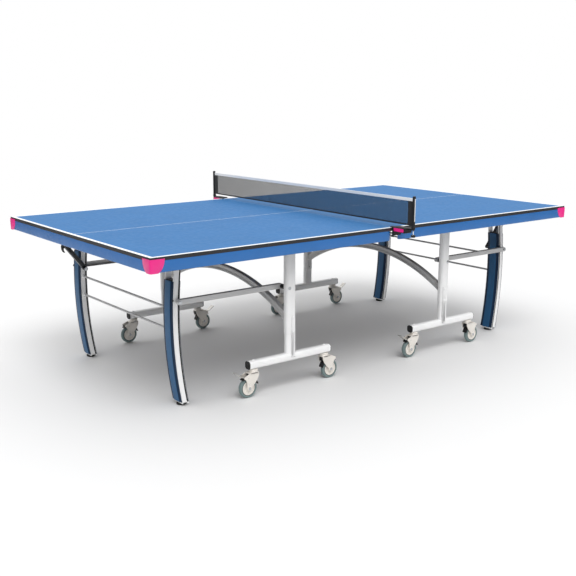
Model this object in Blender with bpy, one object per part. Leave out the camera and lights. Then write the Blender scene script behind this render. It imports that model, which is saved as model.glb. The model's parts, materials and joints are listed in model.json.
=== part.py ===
"""Ping pong table in two rollaway halves, with a clamped net.

The origin is on the floor under the middle of the net. +X runs along the table, +Z is up.
Every piece of a half is described once, for the left half (X < 0). The right half is the same
half turned 180 degrees about Z.
"""

import math

import bmesh
import bpy
from mathutils import Matrix, Vector

# The playing top.
LENGTH = 2.740
WIDTH = 1.525
SURFACE_Z = 0.760
BOARD = 0.016
HALF_GAP = 0.003
END_X = -LENGTH / 2
NET_X = -HALF_GAP / 2
SIDE_Y = WIDTH / 2
BOARD_Z = SURFACE_Z - BOARD
GAP = 0.0003

# The steel apron and the rails under the board.
APRON_BOTTOM = 0.695
APRON_TOP = BOARD_Z - GAP
APRON_NET_X = -0.020
APRON_NET_RADIUS = 0.040
APRON_RETURN_Y = 0.7443
APRON_END_RADIUS = 0.004
SHEET = 0.003
LIP = 0.015
RAIL_WIDTH = 0.030
RAIL_DEPTH = 0.022
STIFFENER_X = -0.300

# The corner protectors: how far they reach along each side, at their foot and at their top.
PROTECTOR_EDGES = ((0.042, APRON_BOTTOM - 0.0015), (0.066, BOARD_Z + 0.008))
PROTECTOR_THICK = 0.0035
PROTECTOR_RADIUS = 0.005

# The four pivots of a half's folding linkage, a parallelogram, as (x, z).
TOP_PIVOT = (-0.531, 0.715)
STRUT_PIVOT = (-0.548, 0.499)
LINK = 0.5635
LEG_PIVOT = (TOP_PIVOT[0] - LINK, TOP_PIVOT[1])
STRUT_END = (STRUT_PIVOT[0] - LINK, STRUT_PIVOT[1])
HINGE_PIN = 0.008
STRUT_PIN = 0.006
LEG_PIN = 0.005
PIN_HEAD = 0.009
PIN_PLAY = 0.0004
LEG_RAIL_X = LEG_PIVOT[0] - 0.036
HINGE_RAIL_X = TOP_PIVOT[0] - 0.038
TAB_REACH = 0.014
LEG_TAB = 0.008
TOP_TAB_Y = (0.554, 0.564)

# The carriage.
POST_X = -0.536
POST_Y = 0.595
UPRIGHT_SIZE = (0.058, 0.036)
UPRIGHT_RADIUS = 0.015
UPRIGHT_BOTTOM = 0.274
UPRIGHT_TOP = 0.698
TUBE_WALL = 0.002
UPRIGHT_TAB = (0.013, 0.006, 0.040)
STRUT_BOLT = 0.0085
POST_TOP = 0.400
BAR_LENGTH = 0.500
BAR_SIZE = 0.040
BAR_RADIUS = 0.014
BAR_BOTTOM = 0.137
BAR_TOP = BAR_BOTTOM + BAR_SIZE
STRAP = (0.021, 0.0045, 0.154, 0.362)
STRAP_X = -0.5285
STRAP_BOLTS = (0.285, 0.352)
STRAP_BOLT = (0.0075, 0.004)
STEM_NUT = (0.007, 0.005)
ARCH_RADIUS = 1.150
ARCH_TOP = 0.527
ARCH_DEPTH = 0.036
ARCH_WIDTH = 0.025
ARCH_PLATE = (0.272, 0.378, 0.004)
ARCH_BOLT = (0.006, 0.005, 0.012)

# The castors, about the swivel axis: X is the way the wheel trails, Z is up from the floor.
CASTOR_X = (-0.752, -0.319)
WHEEL_RADIUS = 0.048
TRAIL = 0.034
FORK_TOP = BAR_BOTTOM - GAP
STEM_RADIUS = 0.006
ARM_INNER = 0.0165
ARM_OUTER = 0.0195
AXLE = 0.004
AXLE_NUT = (0.0075, 0.004)
HEAD_RADIUS = 0.021
BRIDGE_X = (-0.020, 0.030)
BRIDGE_Z = (0.1140, 0.1220)
ARM_EYE = 0.012
PEDAL_PIVOT = (0.056, 0.1035)
PEDAL_PIN = 0.003
PEDAL_HUB = 0.0065
PEDAL_HALF_Y = 0.0155

# The curved legs.
LEG_Y = 0.478
LEG_APEX_X = -1.117
LEG_APEX_Z = 0.400
LEG_RADIUS = 2.000
LEG_FACET = 0.080
LEG_HALF_X = 0.017
LEG_HALF_Y = 0.042
LEG_RAIL = 0.010
LEG_BOTTOM = 0.0125
LEG_FLOOR = 0.006
COVER_TOP = 0.590
COVER_FLANGE = 0.005
ROD_RADIUS = 0.0055
ROD_Z = (0.358, 0.457)
FOOT_RADIUS = 0.0225
FOOT_TOP = LEG_BOTTOM - GAP
FOOT_STEM = 0.005
FOOT_STEM_TOP = 0.050

# The struts, and the stay that braces the back leg.
STRUT_SIZE = (0.024, 0.024)
STRUT_INNER_Y = 0.5245
STRUT_OUTER_Y = STRUT_INNER_Y + STRUT_SIZE[0]
STAY_LENGTH = 0.254
STAY_ANGLE = 52.3
STAY_WALL = 0.0025
STAY_SIZE = (0.020, 0.022)
STAY_OUTER_Y = 0.432

# The net.
NET_TOP = 0.9125
NET_BOTTOM = 0.7785
NET_HALF_Y = 0.8695
NET_THICKNESS = 0.0024
NET_POST_Y = 0.878
NET_POST_RADIUS = 0.008
NET_POST_TOP = 0.9225
CLAMP_X = (-0.030, 0.022)
CLAMP_Z = (0.722, 0.740, 0.7575, 0.766)
CLAMP_PLATE_Y = (SIDE_Y + 0.0007, 0.775)
CLAMP_HOUSING_Y = 0.848
TOP_JAW_Y = 0.748
LOW_JAW_X = -0.0185
LOW_JAW_Y = 0.736
LOW_JAW_Z = (0.7265, 0.7330)
HEIGHT_SCREW = 0.003
HEIGHT_KNOB = 0.0115
HEIGHT_KNOB_Z = (0.7225, 0.735)
CLAMP_SCREW = (-0.0105, 0.748, 0.003)
CLAMP_KNOB = 0.0068
CLAMP_KNOB_Z = (0.7105, 0.7225)

SEGMENTS = 16
WHEEL_SEGMENTS = 20
ARC_STEPS = 9


# ---- shapes -------------------------------------------------------------------------------


def mesh_of(bm):
    mesh = bpy.data.meshes.new("shape")
    bmesh.ops.recalc_face_normals(bm, faces=bm.faces)
    bm.to_mesh(mesh)
    bm.free()
    return mesh


def loft(rings):
    """A closed solid through rings of equal length, capped at its two ends."""
    bm = bmesh.new()
    loops = [[bm.verts.new(point) for point in ring] for ring in rings]
    count = len(loops[0])
    for low, high in zip(loops, loops[1:]):
        for i in range(count):
            j = (i + 1) % count
            bm.faces.new((low[i], low[j], high[j], high[i]))
    bm.faces.new(loops[0])
    bm.faces.new(loops[-1])
    return mesh_of(bm)


def prism(outline, axis, low, high):
    """An outline of (x, y), (x, z) or (y, z) points, extruded along the axis left over."""

    def at(point, depth):
        if axis == "X":
            return (depth, point[0], point[1])
        if axis == "Y":
            return (point[0], depth, point[1])
        return (point[0], point[1], depth)

    return loft([[at(point, depth) for point in outline] for depth in (low, high)])


def box(x, y, z):
    return prism([(x[0], y[0]), (x[1], y[0]), (x[1], y[1]), (x[0], y[1])], "Z", z[0], z[1])


def arc(centre, radius, start, end, steps):
    """Points on a circle between two angles in degrees."""
    angles = [math.radians(start + (end - start) * i / steps) for i in range(steps + 1)]
    return [(centre[0] + radius * math.cos(a), centre[1] + radius * math.sin(a)) for a in angles]


def circle(centre, radius, steps=SEGMENTS):
    return arc(centre, radius, 0, 360, steps)[:-1]


def rod(axis, centre, radius, low, high, steps=SEGMENTS):
    return prism(circle(centre, radius, steps), axis, low, high)


def rounded(centre, size, radius, steps=3):
    """A rectangle with rounded corners."""
    across, up = size[0] / 2 - radius, size[1] / 2 - radius
    corners = ((across, up), (-across, up), (-across, -up), (across, -up))
    points = []
    for turn, (x, y) in enumerate(corners):
        points += arc((centre[0] + x, centre[1] + y), radius, 90 * turn, 90 * turn + 90, steps)
    return points


def stadium(start, end, radius, steps=6):
    """The outline of a flat bar with round ends between two centres."""
    angle = math.degrees(math.atan2(end[1] - start[1], end[0] - start[0]))
    far = arc(end, radius, angle - 90, angle + 90, steps)
    return far + arc(start, radius, angle + 90, angle + 270, steps)


def turned(profile, steps=WHEEL_SEGMENTS):
    """A ring about Y through a closed profile of (radius, y) points."""
    bm = bmesh.new()
    rings = []
    for i in range(steps):
        angle = math.tau * i / steps
        cos, sin = math.cos(angle), math.sin(angle)
        rings.append([bm.verts.new((r * cos, y, r * sin)) for r, y in profile])
    count = len(profile)
    for i in range(steps):
        near, far = rings[i], rings[(i + 1) % steps]
        for j in range(count):
            k = (j + 1) % count
            bm.faces.new((near[j], near[k], far[k], far[j]))
    return mesh_of(bm)


def fused(solids, holes=()):
    """One mesh: the union of the solids, less the holes."""
    scene = bpy.context.scene.collection.objects
    helpers = [bpy.data.objects.new("helper", mesh) for mesh in (*solids, *holes)]
    for helper in helpers:
        scene.link(helper)
    whole = helpers[0]
    for helper in helpers[1:]:
        modifier = whole.modifiers.new("cut", "BOOLEAN")
        modifier.solver = "EXACT"
        modifier.operation = "UNION" if helper in helpers[: len(solids)] else "DIFFERENCE"
        modifier.object = helper
    graph = bpy.context.evaluated_depsgraph_get()
    mesh = bpy.data.meshes.new_from_object(whole.evaluated_get(graph))
    for helper in helpers:
        bpy.data.objects.remove(helper, do_unlink=True)
    return mesh


def mirrored(mesh):
    """The same piece for the other side of the table."""
    other = mesh.copy()
    other.transform(Matrix.Scale(-1, 4, (0, 1, 0)))
    other.flip_normals()
    return other


# ---- the top of a half --------------------------------------------------------------------


def board():
    return box((END_X, NET_X), (-SIDE_Y, SIDE_Y), (BOARD_Z, SURFACE_Z))


def apron_outline(inset):
    """The apron seen from above, before its net side is opened: square at the end, rounded at the net."""
    side = SIDE_Y - inset
    corners = (
        (END_X + inset, -side, APRON_END_RADIUS),
        (APRON_NET_X - inset, -side, APRON_NET_RADIUS),
        (APRON_NET_X - inset, side, APRON_NET_RADIUS),
        (END_X + inset, side, APRON_END_RADIUS),
    )
    points = []
    for index, (x, y, full_radius) in enumerate(corners):
        radius = max(full_radius - inset, 0.001)
        centre = (x - math.copysign(radius, x - POST_X), y - math.copysign(radius, y))
        first = 180 + 90 * index
        points += arc(centre, radius, first, first + 90, 4 if full_radius > 0.01 else 2)
    return points


def rail(x):
    """An angle across the apron, with its upright flange at X = x."""
    ends = (-SIDE_Y + SHEET / 2, SIDE_Y - SHEET / 2)
    flat = box((x - RAIL_WIDTH, x), ends, (APRON_TOP - SHEET, APRON_TOP))
    flange = box((x - SHEET, x), ends, (APRON_TOP - RAIL_DEPTH, APRON_TOP))
    return [flat, flange]


def hinge_tab(pivot, rail_x, y_low, y_high):
    """A plate under a rail that carries a pivot."""
    x, z = pivot
    outline = [(rail_x - SHEET, APRON_TOP), (rail_x - SHEET, z - TAB_REACH)]
    outline += arc(pivot, TAB_REACH, -90, 0, 5) + [(x + TAB_REACH, APRON_TOP)]
    return prism(outline, "Y", y_low, y_high)


def apron():
    outer = prism(apron_outline(0), "Z", APRON_BOTTOM, APRON_TOP)
    hollow = prism(apron_outline(SHEET), "Z", APRON_BOTTOM + SHEET, APRON_TOP + 0.01)
    opening = prism(apron_outline(LIP), "Z", APRON_BOTTOM - 0.01, APRON_TOP)
    open_end = box(
        (APRON_NET_X - 2 * APRON_NET_RADIUS, 0.0),
        (-APRON_RETURN_Y, APRON_RETURN_Y),
        (APRON_BOTTOM - 0.02, APRON_TOP + 0.02),
    )
    ring = fused([outer], [hollow, opening, open_end])
    solids = [ring, *rail(LEG_RAIL_X), *rail(HINGE_RAIL_X), *rail(STIFFENER_X)]
    holes = []
    for side in (-1, 1):
        for pivot, rail_x, low, high in (
            (LEG_PIVOT, LEG_RAIL_X, LEG_Y - LEG_TAB, LEG_Y + LEG_TAB),
            (TOP_PIVOT, HINGE_RAIL_X, *TOP_TAB_Y),
        ):
            span = sorted((side * low, side * high))
            solids.append(hinge_tab(pivot, rail_x, *span))
            holes.append(rod("Y", pivot, HINGE_PIN + PIN_PLAY, span[0] - 0.002, span[1] + 0.002))
    return fused(solids, holes)


def corner_protector():
    """A moulded cap that wraps the front corner of the end, wider at its top."""
    play, thick, radius = GAP, PROTECTOR_THICK, PROTECTOR_RADIUS
    corner = Vector((END_X, -SIDE_Y))
    centre = corner + Vector((radius - thick, radius - thick))
    rings = []
    for along, z in PROTECTOR_EDGES:
        outside = [(corner.x - thick, corner.y + along)]
        outside += arc(centre, radius, 180, 270, 6)
        outside += [(corner.x + along, corner.y - thick)]
        inside = [(corner.x + along, corner.y - play), (corner.x - play, corner.y - play)]
        inside += [(corner.x - play, corner.y + along)]
        rings.append([(x, y, z) for x, y in outside + inside])
    return loft(rings)


# ---- the carriage -------------------------------------------------------------------------


def upright():
    """The outer tube of the front upright, open at its foot, with the tab and pins it carries."""
    centre = (POST_X, -POST_Y)
    inner_size = [side - 2 * TUBE_WALL for side in UPRIGHT_SIZE]
    tube = prism(rounded(centre, UPRIGHT_SIZE, UPRIGHT_RADIUS), "Z", UPRIGHT_BOTTOM, UPRIGHT_TOP)
    inner_outline = rounded(centre, inner_size, UPRIGHT_RADIUS - TUBE_WALL)
    bore = prism(inner_outline, "Z", UPRIGHT_BOTTOM - 0.01, UPRIGHT_TOP - TUBE_WALL)
    inner = -POST_Y + UPRIGHT_SIZE[1] / 2
    outer = -POST_Y - UPRIGHT_SIZE[1] / 2
    x = TOP_PIVOT[0]
    half, thick, reach = UPRIGHT_TAB
    low = UPRIGHT_TOP - reach
    tab_outline = [(x + half, low), *arc(TOP_PIVOT, half, 0, 180, 6), (x - half, low)]
    tab = prism(tab_outline, "Y", inner - thick, inner)
    root = inner - 0.004
    hinge = rod("Y", TOP_PIVOT, HINGE_PIN, root, -TOP_TAB_Y[0] + 0.0015)
    pin = rod("Y", STRUT_PIVOT, STRUT_PIN, root, -STRUT_INNER_Y + 0.001)
    head = rod("Y", STRUT_PIVOT, STRUT_BOLT, outer - 0.003, outer + 0.006, 6)
    return fused([fused([tube], [bore]), tab, hinge, pin, head])


def base():
    """The T-shaped foot of the front upright: bar, post, strap and bolt heads."""
    y = -POST_Y
    middle_z = BAR_BOTTOM + BAR_SIZE / 2
    start, end = POST_X - BAR_LENGTH / 2, POST_X + BAR_LENGTH / 2
    bar = prism(rounded((y, middle_z), (BAR_SIZE, BAR_SIZE), BAR_RADIUS), "X", start, end)
    hollow_size = (BAR_SIZE - 2 * TUBE_WALL,) * 2
    hollow_outline = rounded((y, middle_z), hollow_size, BAR_RADIUS - TUBE_WALL, 2)
    hollow = prism(hollow_outline, "X", start - 0.01, end + 0.01)
    play = 2 * (TUBE_WALL + 0.0004)
    post_size = [side - play for side in UPRIGHT_SIZE]
    post_radius = UPRIGHT_RADIUS - play / 2
    post = prism(rounded((POST_X, y), post_size, post_radius), "Z", BAR_TOP - 0.006, POST_TOP)
    bore_size = [side - 2 * TUBE_WALL for side in post_size]
    bore_outline = rounded((POST_X, y), bore_size, post_radius - TUBE_WALL)
    post_bore = prism(bore_outline, "Z", BAR_TOP + 0.003, POST_TOP + 0.01)
    width, thick, low, high = STRAP
    strap_y = y - UPRIGHT_SIZE[1] / 2 - GAP
    strap = box((STRAP_X - width / 2, STRAP_X + width / 2), (strap_y - thick, strap_y), (low, high))
    foot_y = (strap_y - thick, y - BAR_SIZE / 2 + 0.001)
    strap_foot = box((STRAP_X - width / 2, STRAP_X + width / 2), foot_y, (low, BAR_TOP - BAR_RADIUS))
    solids = [fused([bar], [hollow]), fused([post], [post_bore]), strap, strap_foot]
    for z in STRAP_BOLTS:
        radius, height = STRAP_BOLT
        face = strap_y - thick
        solids.append(rod("Y", (STRAP_X, z), radius, face - height, face + 0.001, 8))
    holes = []
    for x in CASTOR_X:
        radius, height = STEM_NUT
        solids.append(rod("Z", (x, y), radius, BAR_TOP - 0.001, BAR_TOP + height, 6))
        socket = (BAR_BOTTOM - 0.005, BAR_BOTTOM + 0.010)
        holes.append(rod("Z", (x, y), STEM_RADIUS + PIN_PLAY, *socket, 8))
    return fused(solids, holes)


def arch_band(radius, depth, half_y, steps=ARC_STEPS):
    """The outline, in (y, z), of a band of the arch between two radii."""
    centre = (0, ARCH_TOP - ARCH_RADIUS)
    inner = radius - depth
    outer_angle = math.degrees(math.asin(half_y / radius))
    inner_angle = math.degrees(math.asin(half_y / inner))
    top = arc(centre, radius, 90 - outer_angle, 90 + outer_angle, steps)
    return top + arc(centre, inner, 90 + inner_angle, 90 - inner_angle, steps)


def arch_brace():
    """The curved channel between the uprights, with a bolting plate at each end."""
    half = ARCH_WIDTH / 2
    reach = POST_Y - UPRIGHT_SIZE[1] / 2 - GAP
    plate_low, plate_high, plate = ARCH_PLATE
    band = prism(arch_band(ARCH_RADIUS, ARCH_DEPTH, reach), "X", POST_X - half, POST_X + half)
    channel = prism(
        arch_band(ARCH_RADIUS - TUBE_WALL, ARCH_DEPTH + 0.01, reach - plate),
        "X",
        POST_X - half + TUBE_WALL,
        POST_X + half - TUBE_WALL,
    )
    solids = [fused([band], [channel])]
    for side in (-1, 1):
        span = sorted((side * reach, side * (reach - plate)))
        solids.append(box((POST_X - half, POST_X + half), span, (plate_low, plate_high)))
        radius, height, above = ARCH_BOLT
        head = sorted((side * (reach - plate + 0.001), side * (reach - plate - height)))
        solids.append(rod("Y", (POST_X, plate_low + above), radius, *head, 6))
    return fused(solids)


# ---- castors ------------------------------------------------------------------------------


def castor_fork(with_pedal):
    """Swivel head, bridge and two arms, drawn about the swivel axis."""
    stem = rod("Z", (0, 0), STEM_RADIUS - 0.0006, FORK_TOP - 0.004, BAR_BOTTOM + 0.008, 8)
    front, back = BRIDGE_X
    low, high = BRIDGE_Z
    head = rod("Z", (0, 0), HEAD_RADIUS, high - 0.002, FORK_TOP)
    bridge = box(BRIDGE_X, (-ARM_OUTER, ARM_OUTER), BRIDGE_Z)
    hub = (TRAIL, WHEEL_RADIUS)
    arm = [(back, high), (front, high), (front, low - 0.016)]
    arm += arc(hub, ARM_EYE, 200, 370, 5)
    arm += [(0.046, 0.088), (0.063, 0.097), (0.063, 0.108)]
    solids = [stem, head, bridge]
    for side in (-1, 1):
        span = sorted((side * ARM_INNER, side * ARM_OUTER))
        solids.append(prism(arm, "Y", *span))
        radius, height = AXLE_NUT
        nut = sorted((side * (ARM_OUTER - 0.001), side * (ARM_OUTER + height)))
        solids.append(rod("Y", hub, radius, *nut, 6))
    solids.append(rod("Y", hub, AXLE, -ARM_OUTER, ARM_OUTER, 8))
    if with_pedal:
        solids.append(rod("Y", PEDAL_PIVOT, PEDAL_PIN, -ARM_OUTER, ARM_OUTER, 8))
    return fused(solids)


def castor_wheel():
    """Tyre, web and hub about the axle."""
    half = [(AXLE + 0.0003, 0.0155), (0.013, 0.0155), (0.042, 0.012), (WHEEL_RADIUS, 0.006)]
    return turned(half + [(r, -y) for r, y in reversed(half)])


def brake_pedal():
    """A pressed lever about its own pin, with its tread turned up."""
    half_width = PEDAL_HALF_Y
    hub = rod("Y", (0, 0), PEDAL_HUB, -half_width, half_width, 12)
    plate = [(-0.016, 0.0035), (0.019, 0.0035), (0.052, 0.0275), (0.050, 0.0300), (0.017, 0.0070)]
    plate.append((-0.016, 0.0070))
    bore = rod("Y", (0, 0), PEDAL_PIN + PIN_PLAY, -half_width - 0.01, half_width + 0.01, 12)
    return fused([hub, prism(plate, "Y", -half_width, half_width)], [bore])


# ---- legs ---------------------------------------------------------------------------------


def leg_curve(z):
    return LEG_APEX_X + LEG_RADIUS - math.sqrt(LEG_RADIUS**2 - (z - LEG_APEX_Z) ** 2)


def leg_x(z):
    """The middle of the curved leg at height z, on the facets that all its pieces share."""
    low = LEG_BOTTOM + math.floor((z - LEG_BOTTOM) / LEG_FACET) * LEG_FACET
    share = (z - low) / LEG_FACET
    return (1 - share) * leg_curve(low) + share * leg_curve(low + LEG_FACET)


def leg_band(low_offset, high_offset, bottom, top):
    """The outline, in (x, z), of a strip that follows the leg's curve."""
    count = math.ceil((top - LEG_BOTTOM) / LEG_FACET)
    facets = [LEG_BOTTOM + i * LEG_FACET for i in range(count)]
    heights = [bottom] + [z for z in facets if bottom + GAP < z < top - GAP] + [top]
    near = [(leg_x(z) + low_offset, z) for z in heights]
    far = [(leg_x(z) + high_offset, z) for z in reversed(heights)]
    return near + far


def leg_rail_outline():
    top = LEG_PIVOT[1]
    crown = arc((leg_x(top), top), LEG_HALF_X, 180, 0, 6)[1:-1]
    band = leg_band(-LEG_HALF_X, LEG_HALF_X, LEG_BOTTOM, top)
    middle = len(band) // 2
    return band[:middle] + crown + band[middle:]


def leg_frame():
    """Four curved rails, their bottom plates and pins, and the two rods between the legs."""
    solids, holes = [], []
    outline = leg_rail_outline()
    bottom_x = leg_x(LEG_BOTTOM)
    edge, inside = LEG_HALF_Y, LEG_HALF_Y - LEG_RAIL
    for side in (-1, 1):
        y = side * LEG_Y
        solids.append(prism(outline, "Y", y - edge, y - inside))
        solids.append(prism(outline, "Y", y + inside, y + edge))
        solids.append(
            box(
                (bottom_x - LEG_HALF_X, bottom_x + LEG_HALF_X),
                (y - edge, y + edge),
                (LEG_BOTTOM, LEG_BOTTOM + LEG_FLOOR),
            )
        )
        holes.append(rod("Z", (bottom_x, y), FOOT_STEM + PIN_PLAY, 0, LEG_BOTTOM + 0.02, 12))
        solids.append(rod("Y", LEG_PIVOT, HINGE_PIN, y - inside - 0.001, y + inside + 0.001))
        outer = LEG_Y + edge
        pin = sorted((side * (outer - 0.001), side * (STRUT_OUTER_Y + 0.002)))
        solids.append(rod("Y", STRUT_END, LEG_PIN, *pin, 12))
        head = sorted((side * (STRUT_OUTER_Y + 0.001), side * (STRUT_OUTER_Y + 0.006)))
        solids.append(rod("Y", STRUT_END, PIN_HEAD, *head, 6))
    for z in ROD_Z:
        inner = LEG_Y - edge + 0.001
        solids.append(rod("Y", (leg_x(z), z), ROD_RADIUS, -inner, inner, 10))
    inner = LEG_Y - edge
    stay_inner = STAY_OUTER_Y - STAY_SIZE[0]
    solids.append(rod("Y", STRUT_END, LEG_PIN, stay_inner - 0.002, inner + 0.001, 12))
    solids.append(rod("Y", STRUT_END, PIN_HEAD, stay_inner - 0.006, stay_inner - 0.001, 6))
    return fused(solids, holes)


def leg_cover():
    """The moulded core of the front leg, with a face on each side that hides the rails."""
    bottom = LEG_BOTTOM + LEG_FLOOR + 0.001
    web_half = LEG_HALF_Y - LEG_RAIL - GAP
    face_in = LEG_HALF_X + GAP
    face_out = face_in + COVER_FLANGE
    web = prism(
        leg_band(-face_in - 0.001, face_in + 0.001, bottom, COVER_TOP),
        "Y",
        -LEG_Y - web_half,
        -LEG_Y + web_half,
    )
    faces = []
    for side in (-1, 1):
        band = leg_band(*sorted((side * face_in, side * face_out)), bottom, COVER_TOP)
        faces.append(prism(band, "Y", -LEG_Y - LEG_HALF_Y, -LEG_Y + LEG_HALF_Y))
    stem = (leg_x(LEG_BOTTOM), -LEG_Y)
    stem_bore = rod("Z", stem, FOOT_STEM + 0.001, 0, FOOT_STEM_TOP + 0.005, 12)
    return fused([web, *faces], [stem_bore])


def foot():
    """The round levelling foot and its threaded stem, about the stem's axis."""
    pad = rod("Z", (0, 0), FOOT_RADIUS, 0, FOOT_TOP)
    stem = rod("Z", (0, 0), FOOT_STEM, FOOT_TOP - 0.001, FOOT_STEM_TOP, 12)
    return fused([pad, stem])


def strut():
    """The channel from the front upright to the front leg."""
    radius = STRUT_SIZE[1] / 2
    wall = 0.0025
    ends = (-STRUT_OUTER_Y, -STRUT_INNER_Y)
    bar = prism(stadium(STRUT_END, STRUT_PIVOT, radius), "Y", *ends)
    boss = 0.026
    pocket = box(
        (STRUT_END[0] + boss, STRUT_PIVOT[0] - boss),
        (ends[0] + wall, ends[1] + 0.01),
        (STRUT_PIVOT[1] - radius + wall, STRUT_PIVOT[1] + radius - wall),
    )
    leg_hole = rod("Y", STRUT_END, LEG_PIN + PIN_PLAY, ends[0] - 0.01, ends[1] + 0.01)
    post_hole = rod("Y", STRUT_PIVOT, STRUT_PIN + PIN_PLAY, ends[0] - 0.01, ends[1] + 0.01)
    return fused([bar], [pocket, leg_hole, post_hole])


def leg_stay():
    """The diagonal stay on the back leg's inner side, a channel open towards the middle."""
    angle = math.radians(STAY_ANGLE)
    way = Vector((-math.cos(angle), math.sin(angle)))
    foot_end = Vector(STRUT_END)
    tip = foot_end + way * STAY_LENGTH
    radius = STAY_SIZE[1] / 2
    ends = (STAY_OUTER_Y - STAY_SIZE[0], STAY_OUTER_Y)
    bar = prism(stadium(tip, foot_end, radius), "Y", *ends)
    inset = way * 0.028
    outline = stadium(tip - inset, foot_end + inset, radius - STAY_WALL)
    pocket = prism(outline, "Y", ends[0] - 0.01, ends[1] - STAY_WALL)
    hole = rod("Y", STRUT_END, LEG_PIN + PIN_PLAY, ends[0] - 0.01, ends[1] + 0.01)
    return fused([bar], [pocket, hole])


# ---- the net ------------------------------------------------------------------------------


def net():
    half = NET_THICKNESS / 2
    return box((-half, half), (-NET_HALF_Y, NET_HALF_Y), (NET_BOTTOM, NET_TOP))


def net_clamp():
    """The front clamp: jaws on the corner of the left board, housing, post and height screw."""
    inner, plate = -CLAMP_PLATE_Y[0], -CLAMP_PLATE_Y[1]
    housing = -CLAMP_HOUSING_Y
    low, middle, lug, high = CLAMP_Z
    lap = 0.001
    post_end = -NET_POST_Y - NET_POST_RADIUS
    axis = (0, -NET_POST_Y)
    knob_low, knob_high = HEIGHT_KNOB_Z
    solids = [
        box(CLAMP_X, (plate, inner), (low, high)),
        box(CLAMP_X, (housing, plate + lap), (middle, high)),
        box((-NET_POST_RADIUS, NET_POST_RADIUS), (post_end, housing + lap), (lug, high)),
        box((CLAMP_X[0], -NET_POST_RADIUS), (inner - lap, -TOP_JAW_Y), (SURFACE_Z + GAP, high)),
        box((LOW_JAW_X, NET_X), (inner - lap, -LOW_JAW_Y), LOW_JAW_Z),
        rod("Z", axis, NET_POST_RADIUS, lug + lap, NET_POST_TOP),
        rod("Z", axis, HEIGHT_SCREW, knob_high - lap, lug + lap, 12),
        rod("Z", axis, HEIGHT_KNOB, knob_low, knob_high),
    ]
    x, y, radius = CLAMP_SCREW
    bore = rod("Z", (x, -y), radius + PIN_PLAY, LOW_JAW_Z[0] - 0.01, LOW_JAW_Z[1] + 0.001, 12)
    return fused(solids, [bore])


def clamp_screw():
    """The thumb screw under the board, about its own axis."""
    knob_low, knob_high = CLAMP_KNOB_Z
    shaft = rod("Z", (0, 0), CLAMP_SCREW[2], knob_high - 0.002, BOARD_Z - GAP, 12)
    knob = rod("Z", (0, 0), CLAMP_KNOB, knob_low, knob_high, 12)
    return fused([shaft, knob])


# ---- materials and the scene --------------------------------------------------------------


def material(name, colour, roughness, metallic=0.0):
    made = bpy.data.materials.new(name)
    made.use_nodes = True
    shader = made.node_tree.nodes["Principled BSDF"]
    shader.inputs["Base Color"].default_value = (*colour, 1)
    shader.inputs["Roughness"].default_value = roughness
    shader.inputs["Metallic"].default_value = metallic
    made.diffuse_color = (*colour, 1)
    return made


def axis_at(name, point, parent=None):
    """An empty on a joint's axis. Its point is kept, so that pieces can hang from it."""
    empty = bpy.data.objects.new(name, None)
    empty["point"] = list(point)
    empty.parent = parent
    if parent is not None:
        empty.location = Vector(point) - Vector(parent["point"])
    bpy.context.scene.collection.objects.link(empty)
    return empty


def add(name, mesh, finish, parent, at=None, turn=0.0):
    """A node. It hangs from an axis, with its mesh in the half's own frame unless at is given."""
    piece = bpy.data.objects.new(name, mesh)
    if not mesh.materials:
        mesh.materials.append(finish)
    mesh.shade_smooth()
    mesh.set_sharp_from_angle(angle=math.radians(30))
    piece.parent = parent
    piece.location = -Vector(parent["point"]) if at is None else Vector(at)
    piece.rotation_euler.z = turn
    bpy.context.scene.collection.objects.link(piece)
    return piece


def clear_scene():
    for old in list(bpy.data.objects):
        bpy.data.objects.remove(old, do_unlink=True)


def make_materials():
    return {
        "surface": material("blue_playing_surface", (0.110, 0.290, 0.580), 0.55),
        "apron": material("blue_apron_paint", (0.045, 0.180, 0.470), 0.35, 0.2),
        "protector": material("pink_protector", (0.870, 0.040, 0.280), 0.40),
        "frame": material("silver_frame_paint", (0.720, 0.730, 0.750), 0.35, 0.3),
        "base": material("white_frame_paint", (0.820, 0.820, 0.820), 0.35),
        "cover": material("navy_leg_cover", (0.035, 0.140, 0.310), 0.35),
        "rubber": material("black_rubber", (0.012, 0.012, 0.013), 0.70),
        "fork": material("cream_fork_steel", (0.780, 0.750, 0.700), 0.35, 0.2),
        "tyre": material("grey_tyre", (0.190, 0.240, 0.240), 0.60),
        "pedal": material("steel_pedal", (0.600, 0.590, 0.560), 0.30, 0.9),
        "stay": material("grey_stay_steel", (0.110, 0.115, 0.120), 0.40, 0.5),
        "net": material("black_net_cloth", (0.030, 0.034, 0.042), 0.90),
        "clamp": material("black_clamp_plastic", (0.015, 0.015, 0.017), 0.45),
    }


def make_meshes():
    """Each mesh of a half, in its front and back form where it has both."""
    sided = {
        "corner_protector": corner_protector(),
        "upright": upright(),
        "base": base(),
        "leg_cover": leg_cover(),
        "strut": strut(),
    }
    meshes = {(name, -1): mesh for name, mesh in sided.items()}
    meshes.update({(name, 1): mirrored(mesh) for name, mesh in sided.items()})
    meshes.update(
        top_panel=board(),
        apron_frame=apron(),
        arch_brace=arch_brace(),
        leg_frame=leg_frame(),
        leg_stay=leg_stay(),
        foot=foot(),
        fork=castor_fork(False),
        braked_fork=castor_fork(True),
        wheel=castor_wheel(),
        pedal=brake_pedal(),
    )
    return meshes


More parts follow.
